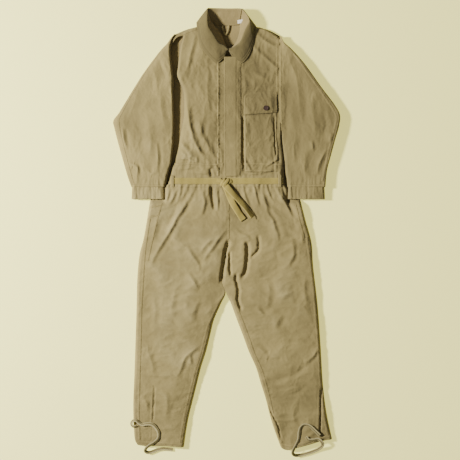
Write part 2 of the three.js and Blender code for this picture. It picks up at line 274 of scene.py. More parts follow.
def nearLine(x, y, line, reach):
    # Which points lie near the line, how far to the side that faces away from the lamp, and how far along
    line = np.asarray(line, float)
    low, high = line[:, :2].min(axis=0) - reach, line[:, :2].max(axis=0) + reach
    index = np.nonzero((x > low[0]) & (x < high[0]) & (y > low[1]) & (y < high[1]))[0]
    if not len(index):
        return index, None, None
    px, py = x[index], y[index]
    best = np.full(len(index), 1e9)
    side, along = np.zeros(len(index)), np.zeros(len(index))
    walked = 0.0
    total = max(lineLength(line), 1e-6)
    for (ax, ay), (bx, by) in zip(line[:-1, :2], line[1:, :2]):
        dx, dy = bx - ax, by - ay
        long = math.hypot(dx, dy)
        if long < 1e-6:
            continue
        t = np.clip(((px - ax) * dx + (py - ay) * dy) / long ** 2, 0, 1)
        gone = np.hypot(px - ax - t * dx, py - ay - t * dy)
        nx, ny = dy / long, -dx / long
        if nx * 0.96 + ny * -0.28 < 0:
            nx, ny = -nx, -ny
        closer = gone < best
        best = np.where(closer, gone, best)
        side = np.where(closer, np.where((px - ax) * nx + (py - ay) * ny >= 0, gone, -gone), side)
        along = np.where(closer, (walked + t * long) / total, along)
        walked += long
    near = best < reach
    return index[near], side[near], along[near]


# Folds that lie in the cloth: how deep, how wide, and the line each follows
folds = [
    # chest and waist, wearer's right
    (3.6, 13, [(-140, 400), (-120, 336), (-103, 292), (-76, 262), (-44, 240)]),
    (3.0, 12, [(-152, 480), (-142, 424), (-134, 372), (-122, 330)]),
    (2.8, 11, [(-178, 344), (-156, 306), (-130, 276), (-100, 256)]),
    (2.6, 10, [(-104, 420), (-92, 360), (-70, 312), (-56, 268)]),
    (2.0, 8, [(-23, 300), (-16, 262), (-9, 223)]),
    (2.6, 10, [(-117, 728), (-131, 665), (-146, 613), (-160, 573)]),
    (1.6, 12, [(-88, 522), (-83, 452), (-93, 382), (-110, 330)]),
    (1.4, 12, [(-60, 600), (-72, 540), (-66, 470), (-74, 400)]),
    (2.2, 9, [(-186, 300), (-160, 282), (-130, 268)]),
    (2.0, 8, [(-60, 330), (-52, 290), (-40, 262)]),
    (-1.8, 9, [(-120, 300), (-90, 272), (-60, 258)]),
    # gathers above and below the belt
    (2.6, 5, [(-192, 264), (-150, 264), (-118, 254), (-90, 247)]),
    (2.2, 5, [(-192, 232), (-150, 227), (-120, 232)]),
    (2.0, 5, [(-132, 214), (-95, 209), (-60, 213)]),
    (2.2, 5, [(60, 214), (111, 209), (174, 219)]),
    (2.2, 6, [(66, 266), (80, 240), (90, 212)]),
    (2.8, 5, [(198, 268), (172, 250), (146, 234)]),
    (2.2, 5, [(-42, 262), (-38, 240), (-28, 212)]),
    (2.4, 6, [(-170, 168), (-176, 130), (-186, 92)]),
    (2.4, 6, [(-28, 168), (-34, 120), (-32, 66)]),
    (2.4, 6, [(62, 168), (72, 120), (84, 84)]),
    (2.6, 6, [(100, 168), (110, 130), (122, 84)]),
    (2.4, 6, [(150, 168), (160, 132), (180, 92)]),
    (2.2, 6, [(198, 166), (212, 132), (226, 104)]),
    (2.2, 6, [(-206, 166), (-216, 136), (-232, 100)]),
    # chest, wearer's left
    (2.4, 10, [(112, 733), (150, 704), (199, 676)]),
    (2.2, 10, [(101, 682), (147, 642), (196, 596)]),
    (1.4, 12, [(90, 600), (120, 575), (160, 560)]),
    (1.6, 10, [(186, 350), (191, 312), (197, 273)]),
    (1.4, 12, [(70, 560), (78, 530)]),
    # right sleeve
    (1.4, 16, [(-285, 620), (-270, 580), (-260, 540), (-258, 490)]),
    (1.2, 18, [(-330, 520), (-345, 470), (-360, 420)]),
    (2.6, 9, [(-368, 252), (-355, 242), (-343, 237), (-333, 222), (-338, 172)]),
    (2.8, 9, [(-388, 382), (-383, 332), (-373, 302)]),
    (1.6, 15, [(-240, 560), (-246, 500), (-240, 430), (-230, 370)]),
    (1.3, 16, [(-300, 440), (-288, 380), (-282, 320), (-290, 260)]),
    (-1.4, 18, [(-330, 420), (-318, 350), (-312, 280)]),
    (2.4, 9, [(-262, 330), (-256, 270), (-262, 210)]),
    (-1.8, 10, [(-250, 640), (-240, 600), (-226, 560)]),
    (1.6, 9, [(-300, 228), (-285, 212), (-262, 206)]),
    # left sleeve
    (1.8, 15, [(219, 691), (234, 642), (258, 579), (272, 504), (276, 450), (286, 397)]),
    (2.2, 9, [(317, 332), (327, 292)]),
    (3.0, 10, [(372, 300), (347, 242), (337, 202)]),
    (2.2, 9, [(392, 362), (385, 322)]),
    (1.2, 15, [(330, 520), (318, 460), (330, 400), (322, 350)]),
    (-1.6, 18, [(238, 560), (226, 480), (222, 400), (226, 330)]),
    (1.5, 15, [(262, 360), (252, 300), (256, 240)]),
    (1.5, 14, [(300, 300), (290, 240), (296, 190)]),
    (-1.8, 12, [(360, 440), (372, 400), (362, 350)]),
    # right thigh
    (3.4, 10, [(-118, 167), (-133, 132), (-153, 92), (-188, 42), (-218, -18), (-238, -48), (-268, -98),
               (-288, -148)]),
    (2.6, 9, [(-188, 152), (-203, 112), (-223, 92)]),
    (2.4, 9, [(-149, -61), (-128, -98), (-108, -128), (-105, -160)]),
    (2.2, 9, [(-143, -166), (-128, -188), (-113, -209), (-103, -228)]),
    (2.2, 10, [(-48, -28), (-78, -58), (-98, -88)]),
    (2.4, 10, [(2, 2), (-38, -48), (-68, -88), (-88, -118)]),
    (-2.4, 16, [(-176, 130), (-196, 60), (-236, -10)]),
    (1.8, 12, [(-250, 60), (-262, 10), (-282, -50)]),
    (1.6, 14, [(-180, -200), (-200, -260), (-206, -330)]),
    (1.4, 14, [(-280, -230), (-268, -300), (-272, -370)]),
    (1.6, 12, [(-96, -258), (-120, -300), (-132, -352)]),
    (2.6, 9, [(-90, 150), (-84, 100), (-92, 50)]),
    (2.2, 9, [(-150, 160), (-162, 128), (-180, 100)]),
    # left thigh
    (3.6, 10, [(177, 172), (202, 127), (227, 82), (252, 42), (262, 22)]),
    (2.2, 9, [(267, 110), (282, 72), (297, 22)]),
    (2.8, 9, [(127, 152), (142, 112), (157, 62), (172, 32), (187, -8), (197, -48)]),
    (2.2, 8, [(32, -3), (51, -15), (77, -26), (86, -46)]),
    (2.2, 10, [(242, -28), (252, -78), (242, -118), (212, -148)]),
    (1.8, 9, [(282, -8), (287, -58)]),
    (1.6, 12, [(202, -253), (225, -246), (252, -233)]),
    (2.0, 10, [(113, -288), (142, -328)]),
    (1.8, 12, [(207, -318), (182, -368)]),
    (-2.2, 14, [(220, 130), (244, 70), (262, -10)]),
    (1.8, 14, [(150, -180), (160, -240), (150, -300)]),
    (1.6, 12, [(300, -170), (292, -230), (304, -290)]),
    # right shin
    (2.6, 10, [(-93, -428), (-128, -458), (-153, -478), (-168, -518), (-183, -553)]),
    (2.2, 9, [(-138, -468), (-133, -508)]),
    (1.5, 10, [(-300, -540), (-250, -548), (-200, -542)]),
    (1.6, 14, [(-230, -600), (-222, -660), (-232, -720)]),
    (1.5, 12, [(-300, -440), (-280, -500), (-270, -560)]),
    (1.4, 10, [(-320, -620), (-300, -650), (-296, -690)]),
    # left shin
    (2.6, 10, [(347, -438), (322, -478), (292, -498)]),
    (-2.0, 14, [(152, -568), (200, -560), (252, -543), (322, -498)]),
    (1.8, 12, [(180, -610), (240, -600), (300, -580)]),
    (1.6, 12, [(260, -660), (250, -700), (262, -740)]),
    (1.8, 10, [(120, -440), (150, -470), (200, -480)]),
]
# Gaps where the cloth sinks right down: how deep, how wide, and the line
sunken = [
    (13, 8, [(10, -35), (-1, -74), (-7, -110), (-14, -153), (-18, -190), (-20, -209)]),
    (8, 5, [(12, -78), (12, -138), (17, -178)]),
    (12, 8, [(75, -37), (79, -74), (77, -123), (68, -166), (49, -188)]),
    (7, 6, [(117, -18), (122, -68), (107, -93), (82, -113)]),
    (9, 6, [(38, -156), (36, -188), (45, -228), (42, -258), (47, -278), (60, -311)]),
    (6, 6, [(-62, 230), (-54, 196)]),
    (9, 7, [(-58, 166), (-51, 110), (-43, 69)]),
    (6, 6, [(-195, 250), (-190, 235)]),
    (4, 2.6, [(-269, -584), (-271, -640), (-274, -690), (-276, -728)]),
    (7, 3.6, [(357, -586), (354, -650), (353, -720), (350, -780)]),
    (6, 3.2, [(156, -650), (170, -690), (190, -730), (199, -760), (203, -796)]),
    (9, 5, [(62, 436), (62, 380), (62, 300), (64, 250), (68, 206)]),
    (7, 3, [(181, 434), (180, 380), (182, 312), (186, 262)]),
]
# Seams that draw the cloth up in small puckers: height, pitch, reach and the line
puckered = [
    (1.3, 13, 30, [(-200, 252), (-30, 252)]),
    (0.9, 13, 26, [(56, 248), (218, 250)]),
    (2.3, 15, 40, [(-218, 162), (-24, 162)]),
    (2.3, 15, 40, [(16, 162), (218, 162)]),
    (1.3, 12, 16, [(-34, 200), (-28, 640)]),
    (0.5, 9, 12, [(54, 200), (54, 618)]),
    (0.5, 9, 12, [(188, 220), (186, 500)]),
    (0.45, 9, 14, [(-320, -60), (-328, -200), (-334, -430), (-338, -770)]),
    (0.45, 9, 14, [(300, -40), (322, -178), (342, -428), (384, -780)]),
    (0.45, 9, 14, [(-24, -250), (-98, -460), (-172, -800)]),
    (0.45, 9, 14, [(24, -250), (104, -460), (216, -800)]),
    (0.5, 9, 14, [(-176, 720), (-166, 540)]),
    (0.5, 9, 14, [(199, 715), (199, 522)]),
    (1.2, 10, 34, [(-357, 172), (-232, 172)]),
    (1.2, 10, 34, [(229, 172), (369, 172)]),
    (0.5, 9, 12, [(-340, -796), (-160, -806)]),
    (0.5, 9, 12, [(215, -808), (395, -776)]),
]
clothSet = {"loft": 21.6, "least": 5.0, "foldStrength": 2.1, "cinch": 3.6, "closing": 3.8}


def foldHeight(x, y):
    # Folds with a sharp side and a soft side, and a hollow beside the crest
    rise = np.zeros_like(x)
    wander = 4 * softNoise(x / 40, y / 40, 3), 4 * softNoise(x / 40, y / 40, 4)
    sx, sy = x + wander[0], y + wander[1]
    for depth, wide, line in folds:
        index, side, along = nearLine(sx, sy, curveThrough(line, 6), wide * 3.2)
        if not len(index):
            continue
        taper = np.sin(np.pi * np.clip(along, 0, 1)) ** 0.7
        blunt = np.sqrt(side ** 2 + 1.6 ** 2)
        crest = np.where(side < 0, np.exp(-blunt / (1.15 * wide)), np.exp(-blunt / (0.58 * wide)))
        crest -= 0.40 * np.exp(-((side - 1.25 * wide) / (0.7 * wide)) ** 2)
        rise[index] += depth * taper * crest * clothSet["foldStrength"]
    return rise


def sunkenHeight(x, y):
    drop = np.zeros_like(x)
    wander = 3 * softNoise(x / 14, y / 14, 5)
    for depth, wide, line in sunken:
        index, side, along = nearLine(x + wander, y, curveThrough(line, 6), wide * 3)
        if not len(index):
            continue
        taper = ease(along / 0.16) * ease((1 - along) / 0.16)
        drop[index] = np.minimum(drop[index], -depth * taper * np.exp(-(np.abs(side) / wide) ** 3))
    return drop


def puckerHeight(x, y):
    rise = np.zeros_like(x)
    for high, pitch, reach, line in puckered:
        line = curveThrough(line, 6)
        index, side, along = nearLine(x, y, line, reach * 2.2)
        if not len(index):
            continue
        gone = along * lineLength(line)
        wave = softNoise(gone / pitch * 1.15, side / reach * 0.8, 9) * 2.2
        rise[index] += high * wave * np.exp(-(np.abs(side) / reach) ** 1.3)
    return rise


def wrinkleHeight(x, y):
    # Soft waves of a washed cotton, thin creases between them, and a fine crumple
    bx, by = x + 22 * softNoise(x / 80, y / 80, 11), y + 22 * softNoise(x / 80, y / 80, 12)
    level = ease((120 - y) / 90)  # across the legs, along the body and sleeves
    wide, tall = 34 + 26 * level, 62 - 28 * level
    calm = 1 - 0.5 * ease((np.abs(x) - 205) / 30) * ease((y - 105) / 40)
    still = 1 - 0.45 * ease((120 - y) / 160)
    patchy = ease(0.5 + 1.6 * softNoise(x / 60, y / 70, 15))

    def crease(share, seed):
        return 0.3 - np.abs(softNoise(bx / (share * wide), by / (share * tall), seed))

    waves = 6.4 * softNoise(bx / 86, by / 110, 13)
    waves = waves + 1.9 * calm * softNoise(bx / wide * 1.3, by / tall * 1.3, 14)
    creases = 3.8 * crease(1, 22) + still * (2.2 * (0.4 + patchy) * crease(0.5, 23) + crease(0.24, 24))
    ridge = np.exp(-(softNoise(bx / 30, by / 44, 16) / 0.10) ** 2)
    furrow = np.exp(-(softNoise(by / 30 + 7, bx / 40, 17) / 0.10) ** 2)
    creases = creases + 0.5 * (patchy * ridge - (1 - patchy) * furrow)
    crumple = 0.30 * softNoise(bx / 11, by / 16, 18) + 0.16 * softNoise(bx / 6, by / 7, 19)
    return waves + calm * creases + crumple


def frontHeight(x, y):
    shape = x.shape
    x, y = x.ravel().astype(float), y.ravel().astype(float)
    small = foldHeight(x, y) + puckerHeight(x, y) + wrinkleHeight(x, y)
    cinch = np.exp(-((y - 181) / 13) ** 2) * ease((236 - np.abs(x)) / 20)  # drawn in by the belt
    upright = ease((y - 205) / 30) * ease((675 - y) / 30)
    closing = upright * np.exp(-(np.clip(x - 54, 0, None) / 46) ** 2) * (x > 40)  # raised beside the placket
    high = clothSet["loft"] + small + sunkenHeight(x, y)
    high = high - clothSet["cinch"] * cinch + clothSet["closing"] * closing
    return np.maximum(high, clothSet["least"]).reshape(shape), small.reshape(shape)


def quilt(left, right, low, high, rows, cols, crowd):
    # A grid of points stretched between four border lines
    t = np.linspace(0, 1, rows)
    u = np.linspace(0, 1, cols)
    s = u * (1 - crowd) + crowd * (0.5 - 0.5 * np.cos(np.pi * u))
    leftLine = spread(curveThrough(left), t)
    rightLine = spread(curveThrough(right), t)
    ends = [leftLine[0], rightLine[0]], [leftLine[-1], rightLine[-1]]
    lowLine = spread(curveThrough([ends[0][0], *(low or []), ends[0][1]]), s)
    highLine = spread(curveThrough([ends[1][0], *(high or []), ends[1][1]]), s)
    t, s = t[:, None, None], s[None, :, None]
    across = (1 - s) * leftLine[:, None] + s * rightLine[:, None]
    up = (1 - t) * lowLine[None] + t * highLine[None]
    corners = ((1 - s) * (1 - t) * ends[0][0] + s * (1 - t) * ends[0][1]
               + (1 - s) * t * ends[1][0] + s * t * ends[1][1])
    return across + up - corners


def gridFaces(rows, cols, closed=False):
    # Four-sided faces of a grid of points, closed across when it is a ring
    i, j = np.meshgrid(np.arange(rows - 1), np.arange(cols if closed else cols - 1), indexing="ij")
    k = (j + 1) % cols
    return np.stack([i * cols + j, i * cols + k, (i + 1) * cols + k, (i + 1) * cols + j],
                    axis=-1).reshape(-1, 4)


def makePiece(name, points, faces, material, uv=None, wearAndPaintedLight=None, thick=0.0):
    # A mesh in metres from points in millimetres, with its map, its wear with painted light and shade, and
    # its thickness
    mesh = bpy.data.meshes.new(name)
    points = np.asarray(points, float).reshape(-1, 3) * mm
    faces = np.asarray(faces)
    mesh.from_pydata(points.tolist(), [], faces.tolist())
    mesh.polygons.foreach_set("use_smooth", np.ones(len(mesh.polygons), bool))
    loops = np.empty(len(mesh.loops), int)
    mesh.loops.foreach_get("vertex_index", loops)
    if uv is not None:
        layer = mesh.uv_layers.new(name="UVMap")
        layer.data.foreach_set("uv", (np.asarray(uv, float).reshape(-1, 2)[loops] * mm).ravel())
    # One value per point for rubbing, painted light and painted shade
    rubAndLight = mesh.attributes.new("wearAndPaintedLight", "FLOAT", "POINT")
    values = np.full(len(points), 0.5) if wearAndPaintedLight is None else np.asarray(wearAndPaintedLight, float).ravel()
    rubAndLight.data.foreach_set("value", values)
    piece = bpy.data.objects.new(name, mesh)
    bpy.context.collection.objects.link(piece)
    mesh.materials.append(material)
    if thick:
        solid = piece.modifiers.new("thickness", "SOLIDIFY")
        solid.thickness = thick * mm
        solid.offset = -1
    return piece


def byHeight(y, table):
    # A value that changes along the body: table holds (y, value) from low to high
    low, value = zip(*table)
    return np.interp(y, low, value)


def edgeRise(gone, radius):
    # From 0 at the edge to 1 at the radius, as a quarter circle
    share = 1 - np.clip(gone / radius, 0, 1)
    return np.sqrt(np.maximum(1 - share ** 2, 0))


def sideShape(grid, edges):
    # How far the front is let down towards each side: edges give (height, radius, weight by y) left and right
    width = np.linalg.norm(np.diff(grid, axis=1), axis=2)
    gone = np.concatenate([np.zeros((len(grid), 1)), np.cumsum(width, axis=1)], axis=1)
    total = gone[:, -1:]
    y = grid[..., 1]
    shapes = []
    for distance, (height, radius, weights) in zip((gone, total - gone), edges):
        weight = byHeight(y, weights)
        radius = np.minimum(byHeight(y, radius), total * 0.42)
        shapes.append((byHeight(y, height), edgeRise(distance, radius) ** weight, weight))
    return shapes


def frontOf(grid, edges, extra=0.0):
    # Height of the front cloth, let down at both sides
    high, small = frontHeight(grid[..., 0], grid[..., 1])
    high = high + extra
    (hl, rl, _), (hr, rr, _) = sideShape(grid, edges)
    z = hl + (high - hl) * rl
    z = hr + (z - hr) * rr
    return z, small


# Where light is painted on the cloth (+) and where shade is painted (-): x, y, reach in x, reach in y
paintedLightPatches = [
    (-60, 470, 130, 220, -0.26), (130, 480, 120, 210, -0.46), (300, 430, 120, 320, -0.28),
    (-300, 300, 110, 200, 0.05), (-310, 480, 130, 180, -0.14), (-295, 138, 70, 34, 0.20),
    (20, 620, 60, 60, -0.10), (0, 225, 230, 34, -0.14), (-190, -60, 130, 200, 0.20),
    (-210, -380, 100, 170, 0.22), (160, -200, 160, 240, 0.06), (340, -100, 40, 400, -0.14),
    (280, -650, 140, 150, -0.14), (-250, -660, 130, 170, -0.12),
]


def wearAndPaintedLightOf(small, grid, extra=0.0):
    # Rubbed on the crests and painted shade in the hollows, with painted light and shade by place
    tone = 0.47 + small * 0.045 + extra
    for x, y, wide, tall, amount in paintedLightPatches:
        tone = tone + amount * np.exp(-((grid[..., 0] - x) / wide) ** 2 - ((grid[..., 1] - y) / tall) ** 2)
    return np.clip(tone, 0, 1)


def clothMap(grid, column):
    # Distances across each row and along one column, so that the weave isn't stretched
    rows, cols = grid.shape[:2]
    across = np.cumsum(np.linalg.norm(np.diff(grid, axis=1), axis=2), axis=1)
    along = np.cumsum(np.linalg.norm(np.diff(grid[:, column], axis=0), axis=1))
    across = np.concatenate([np.zeros((rows, 1)), across], axis=1)
    return np.dstack([across, np.repeat(np.concatenate([[0], along])[:, None], cols, axis=1)])


def tubePiece(name, grid, edges, material, backCols, extra, thick=0.9):
    # Front cloth over the grid, back cloth under it, in one ring at every row
    rows, cols = grid.shape[:2]
    z, small = frontOf(grid, edges, extra)
    front = np.dstack([grid, z])
    line = np.stack([spread(row, np.linspace(0, 1, backCols)) for row in grid])
    (hl, rl, _), (hr, rr, _) = sideShape(line, edges)
    low = 1.0 + 0.7 * ease(0.5 + softNoise(line[..., 0] / 60, line[..., 1] / 60, 21))
    zb = hl + (low - hl) * rl
    zb = hr + (zb - hr) * rr
    zb = np.maximum(zb, 0.3)
    back = np.dstack([line, zb])[:, ::-1][:, 1:-1]
    ring = np.concatenate([front, back], axis=1)
    total = ring.shape[1]
    uv = clothMap(ring, cols // 2)
    wearAndPaintedLight = np.concatenate([wearAndPaintedLightOf(small, grid), np.full((rows, total - cols), 0.4)], axis=1)
    piece = makePiece(name, ring, gridFaces(rows, total, True), material, uv, wearAndPaintedLight, thick)
    remember(ring, gridFaces(rows, total, True))
    return piece


def sheetPiece(name, grid, z, material, wearAndPaintedLight=None, thick=0.9):
    # One layer of cloth over the grid
    rows, cols = grid.shape[:2]
    points = np.dstack([grid, z])
    faces = gridFaces(rows, cols)
    piece = makePiece(name, points, faces, material, clothMap(grid, cols // 2), wearAndPaintedLight, thick)
    remember(points, faces)
    return piece


layers = []  # what is already lying there, to lay the next thing on


def remember(points, faces):
    corners = np.asarray(points, float).reshape(-1, 3).tolist()
    layers.append(BVHTree.FromPolygons(corners, np.asarray(faces).tolist()))


def topAt(points, missing=2.0):
    # Height of the highest cloth at each point
    heights = []
    for x, y in np.asarray(points, float)[..., :2].reshape(-1, 2):
        found = [tree.ray_cast(Vector((x, y, 200)), Vector((0, 0, -1)))[0] for tree in layers]
        heights.append(max([hit.z for hit in found if hit] or [missing]))
    return np.array(heights).reshape(np.asarray(points).shape[:-1])


def smoothed(values, times):
    for _ in range(times):
        values = np.concatenate([values[:1], (values[:-2] + 2 * values[1:-1] + values[2:]) / 4, values[-1:]])
    return values


def ribbonPiece(name, path, width, rolls, material, thick=1.2, cols=7, crown=0.8, step=2.5, remembered=False,
                tone=None):
    # Flat tape along a path of (x, y, z); rolls turn it about its own line, in degrees, from start to end
    line = curveThrough(path)
    count = max(8, int(lineLength(line) / step))
    shares = np.linspace(0, 1, count)
    line = spread(line, shares)
    ahead = np.gradient(line, axis=0)
    ahead /= np.linalg.norm(ahead, axis=1)[:, None]
    flatSide = np.cross(ahead, (0, 0, 1.0))
    flatSide /= np.linalg.norm(flatSide, axis=1)[:, None]
    upward = np.cross(flatSide, ahead)
    turn = np.radians(np.interp(shares, np.linspace(0, 1, len(rolls)), rolls))[:, None]
    side = flatSide * np.cos(turn) + upward * np.sin(turn)
    face = np.cross(side, ahead)
    offset = np.linspace(-0.5, 0.5, cols)
    bowed = crown * (1 - (2 * offset) ** 2)
    grid = (line[:, None] + side[:, None] * (offset * width)[None, :, None]
            + face[:, None] * bowed[None, :, None])[:, ::-1]
    along = shares * lineLength(line)
    uv = np.dstack([np.repeat((offset * width)[None], count, axis=0),
                    np.repeat(along[:, None], cols, axis=1)])
    tone = 0.45 + 0.35 * np.abs(2 * offset) ** 4 if tone is None else np.array(tone)
    wearAndPaintedLight = np.repeat(tone[None], count, axis=0)
    piece = makePiece(name, grid, gridFaces(count, cols)[:, ::-1], material, uv, wearAndPaintedLight, thick)
    piece.modifiers["thickness"].offset = 0
    if remembered:
        remember(grid, gridFaces(count, cols))
    return piece, line


# Where a piece bends between two bodies, and from where to where
bends = {
    "rightLeg": ("torso", "right_shin", (-0.2, -0.400, 0), (-0.2, -0.460, 0)),
    "leftLeg": ("torso", "left_shin", (0.2, -0.400, 0), (0.2, -0.460, 0)),
    "rightSleeve": ("torso", "right_sleeve", (-0.184, 0.44, 0), (-0.226, 0.44, 0)),
    "leftSleeve": ("torso", "left_sleeve", (0.186, 0.44, 0), (0.228, 0.44, 0)),
    "rightCollar": ("torso", "right_collar", (-0.0300, 0.7512, 0.03), (-0.0440, 0.7449, 0.03)),
    "leftCollar": ("torso", "left_collar", (0.0310, 0.7510, 0.03), (0.0455, 0.7465, 0.03)),
}


def settle(piece, place, slot, *nodes):
    # The body a piece goes with or the two it bends between, its finish, which is not used, and the nodes it
    # stands for
    if place in bends:
        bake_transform(piece)
    else:
        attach(piece, place)
    if nodes:
        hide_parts(*nodes)


# Cords: the tape ties at the ankles and the two loose ends of the belt
# The tone across each tape is dark in the middle: painted shade between its doubled layers
tieSet = {"width": 12.0, "thick": 1.1, "tone": (0.8, 0.95, 0.8, 0.05, 0.0, 0.6, 0.75)}
rightTie = [
    (-0.337, -0.736, 0.0276), (-0.349, -0.738, 0.0276), (-0.356, -0.728, 0.0276), (-0.350, -0.717, 0.0276),
    (-0.338, -0.716, 0.0276), (-0.329, -0.724, 0.0276), (-0.316, -0.731, 0.0276), (-0.300, -0.729, 0.0276),
    (-0.280, -0.730, 0.0276), (-0.264, -0.743, 0.0276), (-0.254, -0.763, 0.0276), (-0.256, -0.783, 0.0276),
    (-0.270, -0.797, 0.0276), (-0.288, -0.808, 0.0276), (-0.302, -0.821, 0.024), (-0.304, -0.834, 0.014),
    (-0.292, -0.840, 0.0075), (-0.276, -0.836, 0.0055), (-0.258, -0.829, 0.0055), (-0.240, -0.826, 0.0055),
    (-0.222, -0.827, 0.0055), (-0.202, -0.829, 0.0055)]
leftTie = [
    (0.350, -0.772, 0.0276), (0.338, -0.760, 0.0276), (0.324, -0.746, 0.0276), (0.308, -0.734, 0.0276),
    (0.290, -0.732, 0.0276), (0.277, -0.743, 0.0276), (0.272, -0.762, 0.0276), (0.270, -0.784, 0.0276),
    (0.262, -0.804, 0.0276), (0.252, -0.822, 0.0276), (0.248, -0.838, 0.024), (0.258, -0.849, 0.012),
    (0.278, -0.850, 0.0055), (0.302, -0.844, 0.0055), (0.326, -0.836, 0.0055), (0.346, -0.826, 0.009),
    (0.359, -0.812, 0.021), (0.358, -0.798, 0.029), (0.344, -0.786, 0.0276), (0.326, -0.788, 0.0276),
    (0.308, -0.788, 0.0276), (0.298, -0.776, 0.0276)]
for side, route, rolls in (("right", rightTie, (35, 40, 25, 10, 22, 30, 20, 10, 15)),
                           ("left", leftTie, (10, 20, 30, 15, 25, 30, 20, 25, 10, 10, 20, 25))):
    tie, line = ribbonPiece(f"{side}_ankle_tape", np.array(route) / mm, tieSet["width"], rolls, ankleTape,
                            tieSet["thick"], crown=0.9, step=2.0, tone=tieSet["tone"])
    settle(tie, f"{side}_shin", "webbing", f"{side}_ankle_tie")

tailSet = {"width": 24.0, "thick": 1.6}
tailOne = [(-6, 168, 27), (0, 154, 28.5), (12, 124, 26.5), (24, 97, 26), (38, 74, 26), (52, 52, 26),
           (64, 35, 25.5)]
tailTwo = [(-6, 168, 30), (6, 153, 34), (26, 131, 34.5), (46, 110, 34), (64, 90, 34), (82, 68, 34),
           (99, 46, 32)]
for name, route, rolls, node in (("belt_end_first", tailOne, (0, 10, -14, 6, 16, -6), "belt_tail_1"),
                                 ("belt_end_second", tailTwo, (0, 14, 34, 30, 44, 36), "belt_tail_2")):
    tail, line = ribbonPiece(name, route, tailSet["width"], rolls, oliveWebbing, tailSet["thick"], crown=1.0)
    settle(tail, "torso", "webbing", node)
print("cords: ankle tapes and belt ends")


always = [(-900, 1), (900, 1)]
never = [(-900, 0), (900, 0)]


def flat(value):
    # The same value all along the body
    return [(-900, value), (900, value)]


# Trousers: each leg is one tube of cloth from the waistband to its hem
legSet = {"rows": 310, "cols": 92, "backCols": 22, "loftEdge": 6, "round": 13, "crown": 5.0, "underCuff": 13}
crotchLine = [(-4, -240), (-17, -200), (-14, -153), (-7, -110), (-1, -74), (8, -35), (8, 60), (6, 168)]
rightLegOuter = [(-338, -800), (-347, -775), (-351, -670), (-347, -550), (-343, -430), (-339, -310),
                 (-336, -190), (-328, -100), (-313, -40), (-302, 20), (-293, 76), (-286, 112), (-278, 130),
                 (-262, 141), (-244, 150), (-232, 160), (-226, 168)]
rightLegInner = [(-160, -817), (-152, -760), (-141, -700), (-126, -640), (-111, -580), (-96, -520),
                 (-77, -460), (-62, -400), (-47, -340), (-21, -280), *crotchLine]
leftLegInner = [(203, -817), (182, -760), (163, -700), (148, -640), (129, -580), (111, -520), (84, -460),
                (62, -400), (39, -340), (17, -280), (-1, -240), *[(x + 0.1, y) for x, y in crotchLine[1:]]]
leftLegOuter = [(397, -788), (377, -694), (363, -585), (354, -436), (343, -287), (326, -137), (320, -51),
                (297, 35), (281, 98), (276, 116), (268, 131), (252, 142), (237, 150), (226, 159), (219, 168)]
rightHem = [(-332, -808), (-304, -812), (-227, -813), (-170, -817)]
leftHem = [(211, -823), (227, -828), (246, -824), (300, -810), (357, -794)]
outerEdge = (flat(legSet["loftEdge"]), flat(legSet["round"]), always)
innerEdge = (flat(5), flat(13), [(-900, 1), (-275, 1), (-236, 0), (900, 0)])
for side, left, right, hem, edges in (
        ("right", rightLegOuter, rightLegInner, rightHem, (outerEdge, innerEdge)),
        ("left", leftLegInner, leftLegOuter, leftHem, (innerEdge, outerEdge))):
    grid = quilt(left, right, hem, None, legSet["rows"], legSet["cols"], 0.45)
    middle = np.sin(np.pi * np.linspace(0, 1, legSet["cols"]))[None, :]
    crown = legSet["crown"] * middle * ease((grid[..., 1] + 700) / 90) * ease((100 - grid[..., 1]) / 120)
    underCuff = ease((grid[..., 1] - 92) / 22) * ease((np.abs(grid[..., 0]) - 222) / 14)
    crown = crown - legSet["underCuff"] * underCuff
    leg = tubePiece(f"{side}_trouser_leg", grid, edges, khakiDrill, legSet["backCols"], crown)
    settle(leg, f"{side}Leg", "drill", *[f"{side}_{part}" for part in (
        "trouser_back", "trouser_front", "outseam", "inseam", "shin_back", "shin_front", "shin_outseam",
        "shin_inseam")])
print("trousers: two legs")

# Bodice: a back sheet and two fronts
bodiceSet = {"rows": 180, "frontCols": 62, "backRows": 120, "backCols": 80}
backGrid = quilt([(-224, 163), (-214, 190), (-207, 250), (-202, 357), (-204, 520), (-212, 640), (-213, 690),
                  (-194, 734)],
                 [(223, 163), (222, 200), (222, 262), (213, 391), (209, 440), (209, 600), (206, 724)],
                 None, [(-150, 752), (-108, 764), (-66, 782), (-5, 786), (56, 782), (108, 764), (160, 749)],
                 bodiceSet["backRows"], bodiceSet["backCols"], 0.1)
backZ = 1.4 + 1.2 * ease(0.5 + softNoise(backGrid[..., 0] / 50, backGrid[..., 1] / 70, 31))
backPanel = sheetPiece("bodice_back", backGrid, backZ + 0.9, khakiInside)
settle(backPanel, "torso", "drill_inside", "back_panel", "waistband_back")

